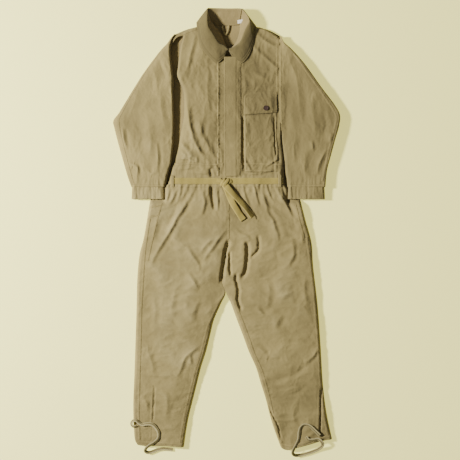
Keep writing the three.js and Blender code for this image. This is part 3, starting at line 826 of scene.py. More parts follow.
rightSide = [(-216, 186), (-207, 220), (-195, 240), (-193, 264), (-182, 305), (-174, 357), (-162, 417),
             (-160, 470), (-163, 515), (-173, 545), (-187, 575), (-184, 610), (-179, 650), (-173, 690),
             (-165, 716), (-166, 738)]
leftSide = [(216, 186), (214, 262), (206, 330), (203, 391), (200, 440), (199, 522), (199, 640), (200, 700),
            (198, 722)]
sideFallRight = (flat(4), [(-900, 26), (500, 24), (560, 13), (900, 12)],
                 [(-900, 1), (715, 1), (738, 0.3), (900, 0.3)])
sideFallLeft = (flat(11), flat(13), [(-900, 1), (285, 1), (370, 0), (900, 0)])
flush = (flat(5), flat(5), never)
for side, left, right, top, edges in (
        ("right", rightSide, [(-7, 198), (-7, 400), (-7, 648)],
         [(-150, 748), (-108, 760), (-72, 722), (-34, 680)],
         (sideFallRight, flush)),
        ("left", [(47, 198), (47, 400), (47, 690)], leftSide, [(75, 728), (110, 760), (150, 751)],
         (flush, sideFallLeft))):
    grid = quilt(left, right, None, top, bodiceSet["rows"], bodiceSet["frontCols"], 0.2)
    z, small = frontOf(grid, edges)
    steps = np.linalg.norm(np.diff(np.dstack([grid, 0 * z]), axis=0), axis=2)[::-1].cumsum(axis=0)[::-1]
    z = 3 + (z - 3) * edgeRise(np.concatenate([steps, np.zeros_like(steps[:1])]), 13)
    panel = sheetPiece(f"{side}_bodice_front", grid, z, khakiDrill, wearAndPaintedLightOf(small, grid))
    settle(panel, "torso", "drill", f"{side}_front_panel", f"{side}_side_seam", f"{side}_shoulder_seam")

waistGrid = quilt([(-226, 158), (-218, 185), (-207, 220), (-199, 249)], [(220, 158), (217, 200), (215, 249)],
                  None, None, 34, 150, 0.3)
waistEdges = ((flat(5), flat(24), always), (flat(9), flat(18), always))
z, small = frontOf(waistGrid, waistEdges, 1.3)
waistband = sheetPiece("waistband", waistGrid, z, khakiDouble, wearAndPaintedLightOf(small, waistGrid), 1.2)
settle(waistband, "torso", "drill", "waistband_front")
print("bodice: back, fronts and waistband")

# Sleeves and gathered cuffs
sleeveSet = {"rows": 230, "cols": 84, "backCols": 20, "ruffle": 12.0, "ruffleHeight": 1.3}
cuffTop = 166
rightSleeveOuter = [(-357, 158), (-372, 200), (-393, 273), (-407, 323), (-421, 378), (-425, 408), (-402, 441),
                    (-354, 520), (-311, 588), (-278, 632), (-246, 674), (-224, 697), (-210, 717), (-196, 732)]
rightSleeveInner = [(-231, 158), (-227, 174), (-215, 226), (-207, 249), (-201, 305), (-198, 357), (-197, 417),
                    (-199, 470), (-200, 520), (-199, 560), (-203, 600), (-208, 640), (-210, 680), (-206, 706),
                    (-199, 722), (-192, 731)]
leftSleeveInner = [(229, 158), (222, 210), (217, 262), (209, 330), (204.5, 391), (201, 440), (200.4, 522),
                   (200.4, 640), (201.4, 700), (199.4, 723)]
leftSleeveOuter = [(370, 158), (377, 222), (392, 279), (407, 335), (422, 388), (425, 428), (407, 464),
                   (378, 503), (353, 536), (292, 621), (245, 674), (218, 698), (204, 722)]
cuffEdge = (flat(9), flat(12), always)
sleeveEdges = {
    "right": ((flat(13), flat(26), always),
              (flat(15), flat(9), [(-900, 1), (715, 1), (732, 0.3), (900, 0.3)])),
    "left": ((flat(11), flat(13), [(-900, 1), (285, 1), (370, 0), (900, 0)]), (flat(27), flat(9), always)),
}
for side, left, right, edgeRaise in (("right", rightSleeveOuter, rightSleeveInner, 6.5),
                                     ("left", leftSleeveInner, leftSleeveOuter, 13.0)):
    grid = quilt(left, right, None, None, sleeveSet["rows"], sleeveSet["cols"], 0.45)
    width = np.linspace(0, 1, sleeveSet["cols"])[None, :]
    # the side away from the lamp stands higher: the outer one on the left, the inner one on the right
    high = 735 if side == "left" else 745
    grown = edgeRaise * ease(width * 1.15) * ease((high - grid[..., 1]) / 60)
    grown = grown * (1 - 0.35 * ease((300 - grid[..., 1]) / 140))
    sleeve = tubePiece(f"{side}_sleeve_cloth", grid, sleeveEdges[side], khakiDrill,
                       sleeveSet["backCols"], grown)
    settle(sleeve, f"{side}Sleeve", "drill",
           *[f"{side}_sleeve_{part}" for part in ("back", "front", "outer_seam", "inner_seam")])

    inner, outer = (230, 369) if side == "left" else (-233, -356)
    low, high = min(inner, outer), max(inner, outer)
    cuffGrid = quilt([(low - 1, 113), (low, 140), (low + 1, cuffTop)],
                     [(high + 1, 113), (high, 140), (high - 1, cuffTop)], None, None, 22, 150, 0.1)
    share = ease((cuffTop - cuffGrid[..., 1]) / 46)
    cuffGrid[..., 1] += share * 2.2 * softNoise(cuffGrid[..., 0] / 9, cuffGrid[..., 1] * 0, 33)
    gather = softNoise(cuffGrid[..., 0] / sleeveSet["ruffle"], cuffGrid[..., 1] / 70, 34)
    gather = gather + 0.5 * softNoise(cuffGrid[..., 0] / 5.2, cuffGrid[..., 1] / 50, 35)
    swell = (0.6 + sleeveSet["ruffleHeight"] * share) * gather - 2.0 + (8.0 if side == "left" else 4.0)
    swell = swell + 1.6 * softNoise(cuffGrid[..., 0] / 30, cuffGrid[..., 1] / 40, 36)
    cuff = tubePiece(f"{side}_gathered_cuff", cuffGrid, (cuffEdge, cuffEdge), khakiDouble, 60, swell)
    settle(cuff, f"{side}_sleeve", "drill", f"{side}_cuff")
print("sleeves and cuffs")

# Hip cloth that shows at the bottom of the gaps between body and sleeves
hipSet = {"right": ([(-266, 108), (-250, 180), (-226, 262)], [(-214, 108), (-208, 180), (-196, 262)]),
          "left": ([(205, 108), (206, 180), (208, 262)], [(268, 108), (252, 180), (232, 262)])}
for side, (left, right) in hipSet.items():
    grid = quilt(left, right, None, None, 40, 18, 0.1)
    hip = sheetPiece(f"{side}_hip_cloth", grid,
                     0.62 + 0.25 * softNoise(grid[..., 0] / 20, grid[..., 1] / 20, 38),
                     khakiInside, None, 0.4)
    settle(hip, "torso", "drill_inside")

# Front closing: button stand, buttonhole strip and the cover that hides the buttons
closingSet = {"low": 199, "high": 646, "left": -9, "right": 54, "buttonX": 24, "buttonFirst": 230,
              "pitch": 88, "count": 5, "buttonSwell": 0.7, "slotWidth": 4.8, "slotLength": 22}
buttonRows = [closingSet["buttonFirst"] + k * closingSet["pitch"] for k in range(closingSet["count"])]


def crinkledEdge(x, low, high, wild, seed):
    # An upright edge that wavers by about wild
    y = np.linspace(low, high, 40)
    return [(x + wild * 2 * softNoise(np.array([v / 15]), np.array([seed * 1.7]), seed)[0], v) for v in y]


standGrid = quilt(crinkledEdge(-34, 200, 640, 2.6, 51), [(50, 200), (50, 400), (50, 640)],
                  None, None, 200, 34, 0.2)
z, small = frontHeight(standGrid[..., 0], standGrid[..., 1])
uneven = 1 + 1.4 * softNoise(standGrid[..., 1] / 9, standGrid[..., 0] / 30, 52)
lip = 3.6 * np.exp(-((standGrid[..., 0] + 32) / 5) ** 2) * uneven
z = np.minimum(z + 0.9, 22.8) + np.maximum(lip, -0.4)
stand = sheetPiece("button_stand_cloth", standGrid, z, khakiDouble, wearAndPaintedLightOf(small, standGrid, 0.1 * lip), 1.0)
settle(stand, "torso", "drill", "button_stand")


def buttonholeStrip():
    # The strip under the cover, with an upright slot over each button
    x = np.array([-3.5, 2, 8, 14, 21.6, 26.4, 34, 40, 47, 53])
    reach = closingSet["slotLength"] / 2
    y = np.unique(np.concatenate([np.linspace(201, 617, 70), *[[b - reach, b + reach] for b in buttonRows]]))
    gx, gy = np.meshgrid(x, y)
    z = 24.6 - 5 * ease((gx - 28) / 22) + 0.5 * softNoise(gx / 20, gy / 30, 53)
    rows, cols = gx.shape
    faces = gridFaces(rows, cols)
    middle = np.dstack([gx, gy]).reshape(-1, 2)[faces].mean(axis=1)
    beside = np.abs(middle[:, 0] - closingSet["buttonX"]) < closingSet["slotWidth"] / 2
    level = np.min(np.abs(middle[:, 1:] - np.array(buttonRows)), axis=1) < reach
    return makePiece("buttonhole_strip_cloth", np.dstack([gx, gy, z]), faces[~(beside & level)], khakiDouble,
                     np.dstack([gx, gy]), None, 0.9)


strip = buttonholeStrip()
settle(strip, "torso", "drill", "buttonhole_strip")

coverGrid = quilt(crinkledEdge(closingSet["left"], closingSet["low"], closingSet["high"], 0.9, 55),
                  [(closingSet["right"], y) for y in (closingSet["low"], 400, closingSet["high"])],
                  None, None, 230, 40, 0.35)
cx, cy = coverGrid[..., 0], coverGrid[..., 1]
z, small = frontHeight(cx, cy)
besideButton = cx - closingSet["buttonX"]
swell = sum(closingSet["buttonSwell"]
            * np.exp(-(besideButton ** 2 + (cy - b) ** 2) / 260) for b in buttonRows)
lifted = np.clip((closingSet["right"] + 2 - cx) / 22, 0, 1)
raised = 29.5 + 0.25 * small + swell + 0.9 * softNoise(cx / 34, cy / 30, 56)
z = (z + 1.0) * (1 - lifted) + raised * lifted - 0.7 * ease((-6 - cx) / 3)
fromButton = np.min(np.hypot(besideButton[..., None], cy[..., None] - np.array(buttonRows)), axis=2)
coverZ = np.maximum(z, 29.5 - 0.3 * np.maximum(fromButton - 10, 0))
cover = sheetPiece("placket_cover_cloth", coverGrid, coverZ, khakiDouble,
                   wearAndPaintedLightOf(small, coverGrid, 0.04 * swell), 1.1)
settle(cover, "placket", "drill", "placket_cover")
print("front closing")

# Chest pocket with its flap
pocketSet = {"deep": 5.0, "flapLeft": 60, "flapLow": 430, "flapSlant": 0.056, "flapTop": 515,
             "flapRise": 11.6, "buttonX": 147, "buttonY": 453, "underButton": 33.8}
bagGrid = quilt([(69, 215), (67.5, 350), (67, 500)],
                [(183, 216), (180, 300), (176, 359), (180, 430), (181, 500)],
                [(90, 213.5), (150, 214)], None, 120, 58, 0.5)
bx, by = bagGrid[..., 0], bagGrid[..., 1]
z, small = frontHeight(bx, by)
wall = edgeRise(np.clip(bx - 66.5, 0, 5.0), 5.0) * edgeRise(np.minimum(by - 212.5, 7.0), 7.0)
wall = wall * ease((184 - bx) / 24)
sag = 1.8 * softNoise(bx / 60, by / 90, 61) + 0.6 * softNoise(bx / 24, by / 50, 62)
sag += 0.9 * np.exp(-(np.abs(softNoise(bx / 30, by / 24, 65)) / 0.07) ** 2) * ease((290 - by) / 50)
z = z + 0.9 + (pocketSet["deep"] + sag) * wall
flapEdge = pocketSet["flapLow"] + (bx - pocketSet["flapLeft"]) * pocketSet["flapSlant"]
# A painted shadow just under the flap's edge, where the cloth also dips
underFlap = np.exp(-((by - flapEdge + 2.5) / 3.2) ** 2)
wearAndPaintedLight = wearAndPaintedLightOf(small + sag * 0.8, bagGrid, 0.10 - 0.45 * underFlap)
bag = sheetPiece("chest_pocket_cloth", bagGrid, z - 3.4 * underFlap, khakiDrill, wearAndPaintedLight, 0.9)
settle(bag, "torso", "drill", "chest_pocket")

gussetGrid = quilt([(177, 216), (174, 300), (170, 359), (174, 430), (176, 498)],
                   [(193, 216), (194, 290), (186, 350), (190, 430), (189, 498)], None, None, 100, 12, 0.2)
gx, gy = gussetGrid[..., 0], gussetGrid[..., 1]
z, small = frontHeight(gx, gy)
rounded = np.sin(np.pi * np.linspace(0, 1, 12))[None]
z = z + 0.9 + 3.2 * rounded * (0.7 + 0.5 * softNoise(gx / 20, gy / 30, 63))
gusset = sheetPiece("pocket_side_fold", gussetGrid, z, khakiDrill, wearAndPaintedLightOf(small, gussetGrid), 0.9)
settle(gusset, "torso", "drill")

flapGrid = quilt([(60, 433), (60, 470), (60, 515)], [(188.5, 440), (188.5, 470), (188, 515)],
                 [(62, 429.5), (120, 432), (183, 436.5)], None, 44, 64, 0.3)
fx, fy = flapGrid[..., 0], flapGrid[..., 1]
high, small = frontHeight(fx, fy)
lowSide = pocketSet["flapLow"] + (fx - pocketSet["flapLeft"]) * pocketSet["flapSlant"]
lip = edgeRise(np.clip(fy - lowSide + 2.5, 0, 12), 12)
hinge = ease((pocketSet["flapTop"] - fy) / 30)
ends = (0.25 + 0.75 * ease((fx - pocketSet["flapLeft"]) / 22)) * (0.3 + 0.7 * ease((189 - fx) / 26))
rise = (pocketSet["flapRise"] - 2.2) * (0.12 + 0.88 * hinge) * (0.72 + 0.28 * lip) * ends
z = clothSet["loft"] + 0.8 * small + 2.2 + rise
z += (1.3 * softNoise(fx / 38, fy / 30, 64) + 1.5 * (0.3 - np.abs(softNoise(fx / 22, fy / 34, 66)))) * hinge
nearButton = np.hypot(fx - pocketSet["buttonX"], fy - pocketSet["buttonY"]) < 15
flapZ = np.where(nearButton, np.minimum(z, pocketSet["underButton"]), np.maximum(z, high + 1.4))
flap = sheetPiece("pocket_flap_cloth", flapGrid, flapZ, khakiDouble, wearAndPaintedLightOf(small, flapGrid, 0.03), 1.5)
settle(flap, "pocket_flap", "drill", "pocket_flap")
print("chest pocket")

# Buttons keep their turned shape and get the horn
for name in (*[f"front_button_{k + 1}" for k in range(closingSet["count"])], "pocket_button"):
    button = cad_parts[name]
    button.data.materials.clear()
    button.data.materials.append(darkHorn)

# Belt: two straps, loops and the knot
beltSet = {"width": 23.6, "thick": 1.5, "middle": 181, "lines": 9, "loopWidth": 12, "knotThick": 1.6}


def beltStrap(name, left, right, node, seed):
    # One half of the belt, lying on the highest cloth under it
    x = np.linspace(left, right, 90)
    y = beltSet["middle"] + 2.4 * softNoise(x / 70, x * 0, seed)
    under = np.max([topAt(np.stack([x, y + gone], axis=1)) for gone in (-10, -4, 4, 10)], axis=0)
    under = np.max([np.roll(np.pad(under, 3, mode="edge"), k)[3:-3] for k in range(-3, 4)], axis=0)
    z = smoothed(under, 12) + 1.2
    grid = []
    shares = np.linspace(-0.5, 0.5, beltSet["lines"])
    for share in shares:
        roll = 1.6 * softNoise(x / 45, x * 0 + 3, seed + 1) * share * 2
        high = z + 0.5 * (1 - 4 * share ** 2) + roll
        grid.append(np.stack([x, y + share * beltSet["width"], high], axis=1))
    grid = np.stack(grid)
    faces = gridFaces(*grid.shape[:2])
    uv = np.dstack([grid[..., 1], grid[..., 0]])
    wearAndPaintedLight = np.repeat(0.45 + 0.35 * np.abs(2 * shares)[:, None] ** 4, len(x), axis=1)
    strap = makePiece(name, grid, faces, oliveWebbing, uv, wearAndPaintedLight, beltSet["thick"])
    remember(grid, faces)
    settle(strap, "torso", "webbing", node)


beltStrap("right_belt_webbing", -211, -20, "right_belt_strap", 71)
beltStrap("left_belt_webbing", 8, 212, "left_belt_strap", 73)

for side, x in (("right", -202), ("left", 200)):
    y = np.linspace(159, 204, 26)
    base = smoothed(topAt(np.stack([np.full(26, x), y], axis=1)), 3)
    arch = ease((y - 160) / 7) * ease((203 - y) / 7)
    z = base + 1.0 + 0.9 * arch
    w = np.linspace(-0.5, 0.5, 6)[None]
    across, up = x + w * beltSet["loopWidth"] + 0 * y[:, None], y[:, None] + 0 * w
    grid = np.dstack([across, up, z[:, None] + 0.3 * (1 - 4 * w ** 2)])
    loop = sheetPiece(f"{side}_belt_loop_cloth", grid[..., :2], grid[..., 2], khakiDouble, None, 1.2)
    settle(loop, "torso", "drill", f"{side}_belt_loop")

knotWraps = [
    ("low", 14, (0, 6, 0), [(-36, 183, 25), (-22, 181, 28), (-8, 177, 29.5), (6, 177, 29), (20, 181, 26)]),
    ("over", 11, (20, 4, -18),
     [(-18, 163, 24), (-18, 168, 28.5), (-13, 176, 31.5), (-7, 184, 30), (-3, 190, 25)]),
    ("cross", 12, (-8, 0, 14), [(8, 190, 25), (5, 184, 30), (-2, 174, 33), (-8, 164, 32.5), (-3, 152, 30)]),
]
for way, width, rolls, route in knotWraps:
    wrap = ribbonPiece(f"knot_wrap_{way}", route, width, rolls, oliveWebbing, beltSet["knotThick"], crown=1.2,
                       step=1.5, remembered=True)[0]
    settle(wrap, "torso", "webbing", *(["belt_knot"] if way == "low" else []))
print("belt")

# Collar: a stand round the neck, a fall behind it and a leaf turned down at each side
rollRight = [(5, 673, 32), (-7, 685, 34.5), (-26, 694, 38), (-38, 708, 41.5), (-54, 734, 46),
             (-68, 757, 49.5), (-71, 790, 51), (-69, 824, 49)]
rollLeft = [(9, 673, 32), (28, 682, 34), (52, 701, 37), (70, 744, 42), (86, 777, 44.5), (76, 802, 45),
            (58, 823, 43)]
neckRight = [(5, 668, 24.5), (-2, 690, 21), (-10, 712, 16), (-22, 738, 10), (-38, 758, 6), (-52, 768, 4.5),
             (-58, 771, 4.2), (-60, 772, 4.2)]
neckLeft = [(9, 668, 24.5), (22, 684, 21), (36, 704, 15), (46, 734, 9), (50, 756, 5.5), (49, 768, 4.6),
            (48, 772, 4.2)]
leafRight = [(5, 671, 27), (-12, 643, 25.6), (-30, 623.5, 25.4), (-47, 626, 25.4), (-71, 650, 25.4),
             (-88, 674, 25.4), (-100, 701, 25), (-109, 745, 22), (-112, 776, 17)]
leafLeft = [(9, 671, 27), (18, 653, 25.6), (31, 634, 25.4), (48, 621.5, 25.4), (63, 624, 25.4),
            (84, 651, 25.4), (94, 678, 25.4), (105, 714, 25), (111, 753, 21), (108, 764, 18)]
bandGrids = {}


def band(one, other, rows, cols, bulge, name, material, seed, bulgeAt=0.35, thick=1.3, flip=False):
    # Cloth between two lines in space, swelling upwards between them
    t = np.linspace(0, 1, rows)
    a, b = spread(curveThrough(one), t), spread(curveThrough(other), t)
    u = np.linspace(0, 1, cols)
    s = u[None, :, None]
    grid = a[:, None] * (1 - s) + b[:, None] * s
    x, y = grid[..., 0], grid[..., 1]
    hump = np.sin(np.pi * u ** (math.log(0.5) / math.log(bulgeAt)))[None]
    rough = 1.5 * softNoise(x / 22, y / 26, seed) + 0.9 * (0.3 - np.abs(softNoise(x / 13, y / 17, seed + 9)))
    grid[..., 2] += bulge * hump + rough * np.sin(np.pi * u)[None]
    if "leaf" in name:  # drawn down along its two rows of stitches
        for row, reach in ((0.80, 0.03), (0.92, 0.02)):
            grid[..., 2] -= 0.9 * np.exp(-((u - row) / reach) ** 2)[None]
    wide = np.linalg.norm(b - a, axis=1).mean()
    uv = np.dstack([np.repeat((u * wide)[None], rows, axis=0),
                    np.repeat((t * lineLength(a))[:, None], cols, axis=1)])
    wearAndPaintedLight = 0.34 + 0.2 * np.exp(-(u / 0.07) ** 2) + 0.25 * np.exp(-((1 - u) / 0.05) ** 2)
    wearAndPaintedLight = wearAndPaintedLight - 0.1 * np.exp(-((u - 0.86) / 0.04) ** 2)
    wearAndPaintedLight = np.clip(wearAndPaintedLight[None] + 0.12 * softNoise(x / 16, y / 16, seed + 5), 0, 1)
    faces = gridFaces(rows, cols)
    if flip:
        faces = faces[:, ::-1]
    piece = makePiece(name, grid, faces, material, uv, wearAndPaintedLight, thick)
    remember(grid, faces)
    bandGrids[name] = grid
    return piece


standRight = band(neckRight, rollRight, 90, 20, 0.0, "collar_stand_right", khakiInside, 81, flip=True)
standLeft = band(neckLeft, rollLeft, 90, 20, 0.0, "collar_stand_left", khakiInside, 82)
backRoll = [(-69, 824, 49), (-50, 825.5, 41), (-30, 826, 37), (10, 825, 36.5), (40, 825, 39), (58, 823, 43)]
backNeck = [(-60, 770, 4.2), (-30, 768, 3.6), (0, 768, 3.6), (30, 768, 3.6), (48, 770, 4.2)]
backFall = [(-78, 812, 16), (-40, 806, 5), (0, 805, 4), (40, 806, 5), (70, 812, 16)]
standBack = band(backNeck, backRoll, 60, 26, 1.0, "collar_stand_back", khakiInside, 83)
fallBack = band(backRoll, backFall, 60, 16, 4.0, "collar_fall_back", khakiDouble, 84)
settle(standRight, "torso", "drill_inside")
settle(standLeft, "torso", "drill_inside")
settle(standBack, "torso", "drill_inside", "collar_back")
settle(fallBack, "torso", "drill")
for side, roll, edge, seed in (("right", rollRight, leafRight, 85), ("left", rollLeft, leafLeft, 86)):
    leaf = band(roll, edge, 110, 40, 4.6, f"{side}_collar_leaf_cloth", khakiCollar, seed, bulgeAt=0.30,
                thick=1.8, flip=side == "left")
    settle(leaf, f"{side}Collar", "drill", f"{side}_collar_leaf")

# Where the sleeve head and the shoulder are sewn together above the armhole
headOuter = [(-218, 694, 6), (-207, 716, 3), (-193, 733, 3), (-172, 743, 3), (-146, 750, 4)]
headInner = [(-206, 690, 19), (-195, 710, 20), (-182, 722, 20), (-164, 726, 21), (-142, 730, 21)]
head = band(headOuter, headInner, 50, 14, 5.0, "right_sleeve_head", khakiDouble, 88, bulgeAt=0.45)
settle(head, "torso", "drill")

# The neck label, a blank tape between four corners, and the hanger loop
a, b, c, d = np.array([(42, 772, 10.5), (62, 774, 17.5), (61, 786, 27), (41, 784, 20)], float)
t, s = np.linspace(0, 1, 10)[:, None, None], np.linspace(0, 1, 14)[None, :, None]
labelGrid = (a * (1 - s) + b * s) * (1 - t) + (d * (1 - s) + c * s) * t
labelGrid[..., 2] += 0.4 * softNoise(labelGrid[..., 0] / 7, labelGrid[..., 1] / 7, 91)
label = sheetPiece("neck_label_tape", labelGrid[..., :2], labelGrid[..., 2], whiteTape, None, 0.8)
settle(label, "torso", "white_tape", "neck_label")
hangerLine = [(-15.5, 766.5, 8.0), (-13.5, 750, 8.2), (-8, 736, 8.6), (-3.5, 732, 8.8), (1, 736, 8.6),
              (6.5, 750, 8.2), (9, 766.5, 8.0)]
hanger = ribbonPiece("hanger_tape", hangerLine, 6.5, (0, 8, 0, -8, 0), khakiDouble, 1.4, cols=5, crown=0.4,
                     step=1.5)[0]
settle(hanger, "hanger", "drill", "hanger_loop")
print("collar, label and hanger")

# Felled seams: narrow raised bands laid along lines on the cloth that is there
seamGroups = {
    "torso": [
        (9, 1.0, [(-112, 750), (-150, 738), (-176, 729)]), (9, 1.0, [(108, 752), (150, 743), (190, 720)]),
        (8, 1.1, [(-190, 243), (-140, 245), (-60, 243), (-12, 244)]),
        (8, 1.1, [(58, 243), (120, 245), (212, 242)]),
        (8, 0.9, [(6, 150), (8, 110), (8, 60), (8, 0), (7, -36)]),
        (8, 0.7, [(190, 712), (189, 640), (189, 560), (190, 505)]),
        (6, 0.8, [(65, 222), (66, 320), (66, 425)]), (6, 0.8, [(70, 219), (120, 219), (178, 221)]),
        (6, 0.8, [(-243, 98), (-258, 40), (-278, -40), (-295, -118)]),
        (6, 0.8, [(-284, 82), (-266, 86), (-250, 90)]),
        (6, 0.8, [(-290, 46), (-272, 50), (-258, 52)]), (6, 0.8, [(258, 92), (274, 30), (292, -34)]),
    ],
    "rightLeg": [
        (9, 1.0, [(-288, 40), (-298, -20), (-309, -110), (-320, -300), (-323, -430), (-327, -560),
                  (-330, -680), (-327, -792)]),
        (9, 0.9, [(-30, -285), (-67, -352), (-84, -410), (-99, -468), (-118, -528), (-133, -588),
                  (-148, -648), (-160, -705), (-170, -760), (-177, -806)]),
        (11, 1.2, [(-336, -791), (-306, -799), (-228, -801), (-166, -806)]),
        (6, 0.6, [(-277, -584), (-280, -640), (-284, -724), (-286, -790)]),
    ],
    "leftLeg": [
        (9, 1.0, [(300, -30), (308, -90), (322, -178), (332, -308), (342, -428), (350, -560), (362, -680),
                  (380, -776)]),
        (9, 0.9, [(36, -285), (62, -352), (84, -410), (104, -468), (131, -528), (149, -588), (162, -640),
                  (176, -700), (196, -752), (206, -800)]),
        (11, 1.2, [(212, -807), (246, -811), (300, -797), (357, -781), (390, -776)]),
        (6, 0.6, [(346, -584), (344, -640), (343, -700), (341, -770)]),
    ],
    "rightSleeve": [
        (9, 0.9, [(-214, 703), (-214, 650), (-209, 590)]),
        (9, 1.3, [(-353, 164), (-295, 163), (-236, 164)]),
        (8, 0.8, [(-252, 664), (-318, 572), (-396, 432), (-404, 392), (-390, 320), (-364, 220), (-350, 170)]),
    ],
    "leftSleeve": [
        (11, 0.6, [(201.5, 712), (201, 640), (201, 560), (201.5, 480), (204, 400), (206, 350)]),
        (9, 1.3, [(234, 164), (300, 163), (366, 164)]),
        (8, 0.8, [(250, 658), (288, 606), (368, 492), (408, 428), (404, 380), (380, 290), (358, 180)]),
    ],
}
stitchSet = {"Pitch": 3.6, "Stitch Length": 2.3, "Stitch Width": 0.55}
seamShares, seamRise = np.array([-0.5, -0.36, 0, 0.36, 0.5]), np.array([0.15, 0.85, 1.0, 0.85, 0.15])


def seamBand(line, width, lift):
    # Points, wear and map of one raised band
    line = spread(curveThrough(line), np.linspace(0, 1, max(6, int(lineLength(line) / 4))))
    ahead = np.gradient(line, axis=0)
    ahead /= np.linalg.norm(ahead, axis=1)[:, None]
    across = np.stack([ahead[:, 1], -ahead[:, 0]], axis=1)
    grid = line[:, None] + across[:, None] * (seamShares * width)[None, :, None]
    top = topAt(grid)
    top = np.minimum(top, np.median(top, axis=1)[:, None] + 3)
    tuck = 0.35 * softNoise(grid[..., 0] / 5, grid[..., 1] / 5, 97)
    z = top + (seamRise * lift)[None] + tuck * np.array([0, 1, 1, 1, 0])[None]
    wearAndPaintedLight = np.repeat(np.array([[0.15, 0.5, 0.42, 0.5, 0.15]]), len(line), axis=0)
    uv = np.dstack([np.repeat((seamShares * width)[None], len(line), axis=0),
                    np.repeat((np.arange(len(line)) * 4.0)[:, None], 5, axis=1)])
    return np.dstack([grid, z]), wearAndPaintedLight, uv


def stitchTree():
    # Thread stitches along the edges of a mesh line
    tree = bpy.data.node_groups.new("threadStitches", "GeometryNodeTree")
    tree.interface.new_socket("Geometry", in_out="INPUT", socket_type="NodeSocketGeometry")
    for name, value in stitchSet.items():
        socket = tree.interface.new_socket(name, in_out="INPUT", socket_type="NodeSocketFloat")
        socket.default_value = value * mm
    seed = tree.interface.new_socket("Seed", in_out="INPUT", socket_type="NodeSocketInt")
    seed.default_value = 5
    tree.interface.new_socket("Geometry", in_out="OUTPUT", socket_type="NodeSocketGeometry")
    entry, leave = tree.nodes.new("NodeGroupInput"), tree.nodes.new("NodeGroupOutput")
    curve = makeNode(tree, "GeometryNodeMeshToCurve", {"Mesh": entry.outputs["Geometry"]})
    even = makeNode(tree, "GeometryNodeResampleCurve", {"Curve": curve.outputs["Curve"],
                                                        "Length": entry.outputs["Pitch"]}, mode="LENGTH")
    tangent = makeNode(tree, "GeometryNodeInputTangent")
    along = makeNode(tree, "FunctionNodeAlignRotationToVector", {"Vector": tangent.outputs["Tangent"]},
                     axis="X")
    ball = makeNode(tree, "GeometryNodeMeshUVSphere", {"Segments": 6, "Rings": 4, "Radius": 0.5})
    flatness = makeNode(tree, "ShaderNodeMath", {0: entry.outputs["Stitch Width"], 1: 0.8},
                        operation="MULTIPLY")
    size = makeNode(tree, "ShaderNodeCombineXYZ", {"X": entry.outputs["Stitch Length"],
                                                   "Y": entry.outputs["Stitch Width"],
                                                   "Z": flatness.outputs[0]})
    uneven = makeNode(tree, "FunctionNodeRandomValue", {"Seed": entry.outputs["Seed"]}, data_type="FLOAT")
    uneven.inputs[2].default_value = 0.85
    uneven.inputs[3].default_value = 1.12
    scaled = makeNode(tree, "ShaderNodeVectorMath", {0: size.outputs[0], 3: uneven.outputs[1]},
                      operation="SCALE")
    laid = makeNode(tree, "GeometryNodeInstanceOnPoints", {
        "Points": even.outputs["Curve"], "Instance": ball.outputs["Mesh"],
        "Rotation": along.outputs["Rotation"],
        "Scale": scaled.outputs["Vector"]})
    real = makeNode(tree, "GeometryNodeRealizeInstances", {"Geometry": laid.outputs["Instances"]})
    colored = makeNode(tree, "GeometryNodeSetMaterial", {"Geometry": real.outputs["Geometry"]})
    colored.inputs["Material"].default_value = sewingThread
    tree.links.new(colored.outputs["Geometry"], leave.inputs["Geometry"])
    return tree


stitchNodes = stitchTree()


def sewn(name, lines):
    # Lines of points (x, y, z) become rows of stitches
    points, edges = [], []
    for line in lines:
        first = len(points)
        points += [tuple(p) for p in np.asarray(line) * mm]
        edges += [(first + k, first + k + 1) for k in range(len(line) - 1)]
    mesh = bpy.data.meshes.new(name)
    mesh.from_pydata(points, edges, [])
    guide = bpy.data.objects.new(name + "Guide", mesh)
    bpy.context.collection.objects.link(guide)
    modifier = guide.modifiers.new("stitches", "NODES")
    modifier.node_group = stitchNodes
    items = stitchNodes.interface.items_tree
    sockets = {item.name: item.identifier for item in items if item.in_out == "INPUT"}
    for size, value in stitchSet.items():
        modifier[sockets[size]] = value * mm
    bpy.context.view_layer.update()
    done = bpy.data.meshes.new_from_object(guide.evaluated_get(bpy.context.evaluated_depsgraph_get()))
    done.name = name
    bpy.data.objects.remove(guide)
    done.polygons.foreach_set("use_smooth", np.ones(len(done.polygons), bool))
    piece = bpy.data.objects.new(name, done)
    bpy.context.collection.objects.link(piece)
    return piece


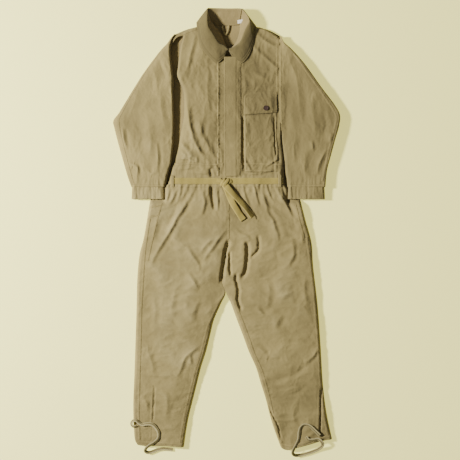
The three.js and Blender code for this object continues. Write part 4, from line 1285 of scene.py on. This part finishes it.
seamNames = {"torso": "body", "rightLeg": "right_leg", "leftLeg": "left_leg", "rightSleeve": "right_sleeve",
             "leftSleeve": "left_sleeve"}
for place, bands in seamGroups.items():
    points, faces, wearAndPaintedLight, uv, stitchLines, total = [], [], [], [], [], 0
    for width, lift, line in bands:
        grid, rubAndLight, flatMap = seamBand(line, width, lift)
        points.append(grid.reshape(-1, 3))
        wearAndPaintedLight.append(rubAndLight.ravel())
        uv.append(flatMap.reshape(-1, 2))
        faces.append(gridFaces(*grid.shape[:2])[:, ::-1] + total)
        total += rubAndLight.size
        stitchLines += [grid[:, column] + (0, 0, 0.35) for column in (1, 3)]
    seams = makePiece(f"{seamNames[place]}_felled_seams", np.concatenate(points), np.concatenate(faces),
                      khakiDouble, np.concatenate(uv), np.concatenate(wearAndPaintedLight), 0.0)
    settle(seams, place, "drill")
    settle(sewn(f"{seamNames[place]}_seam_stitches", stitchLines), place, "drill")
print("seams and their stitches")


# Stitches along edges: collar leaves, flap and placket cover, and the buttonhole
def alongSide(grid, first, last, share=None, column=None, row=None):
    # A line in the grid at a share of its width, or at one column or row
    if row is not None:
        line = grid[row, :]
    elif column is not None:
        line = grid[:, column]
    else:
        line = grid[:, int(share * (grid.shape[1] - 1))]
    count = len(line)
    return line[int(first * count):int(last * count)] + (0, 0, 0.5)


for side in ("right", "left"):
    grid = bandGrids[f"{side}_collar_leaf_cloth"]
    lines = [alongSide(grid, 0.03, 0.97, share) for share in (0.93, 0.82)]
    settle(sewn(f"{side}_collar_stitches", lines), f"{side}Collar", "drill")
flapPoints, coverPoints = np.dstack([flapGrid, flapZ]), np.dstack([coverGrid, coverZ])
lines = [alongSide(flapPoints, 0.02, 0.98, row=3)]
lines += [alongSide(flapPoints, 0.08, 0.95, column=column) for column in (3, -4)]
settle(sewn("pocket_flap_stitches", lines), "pocket_flap", "drill")
hole = [(145.8, 465), (145.6, 473), (146, 481), (148, 482), (148.6, 474), (148.2, 465)]
hole = spread(np.array(hole, float), np.linspace(0, 1, 12))
lines = [np.column_stack([hole + (k, 0), topAt(hole + (k, 0)) + 1.0]) for k in (-0.5, 0, 0.5)]
settle(sewn("pocket_buttonhole", lines), "pocket_flap", "drill")
lines = [alongSide(coverPoints, 0.01, 0.99, column=column) for column in (4, -4)]
settle(sewn("placket_stitches", lines), "placket", "drill")
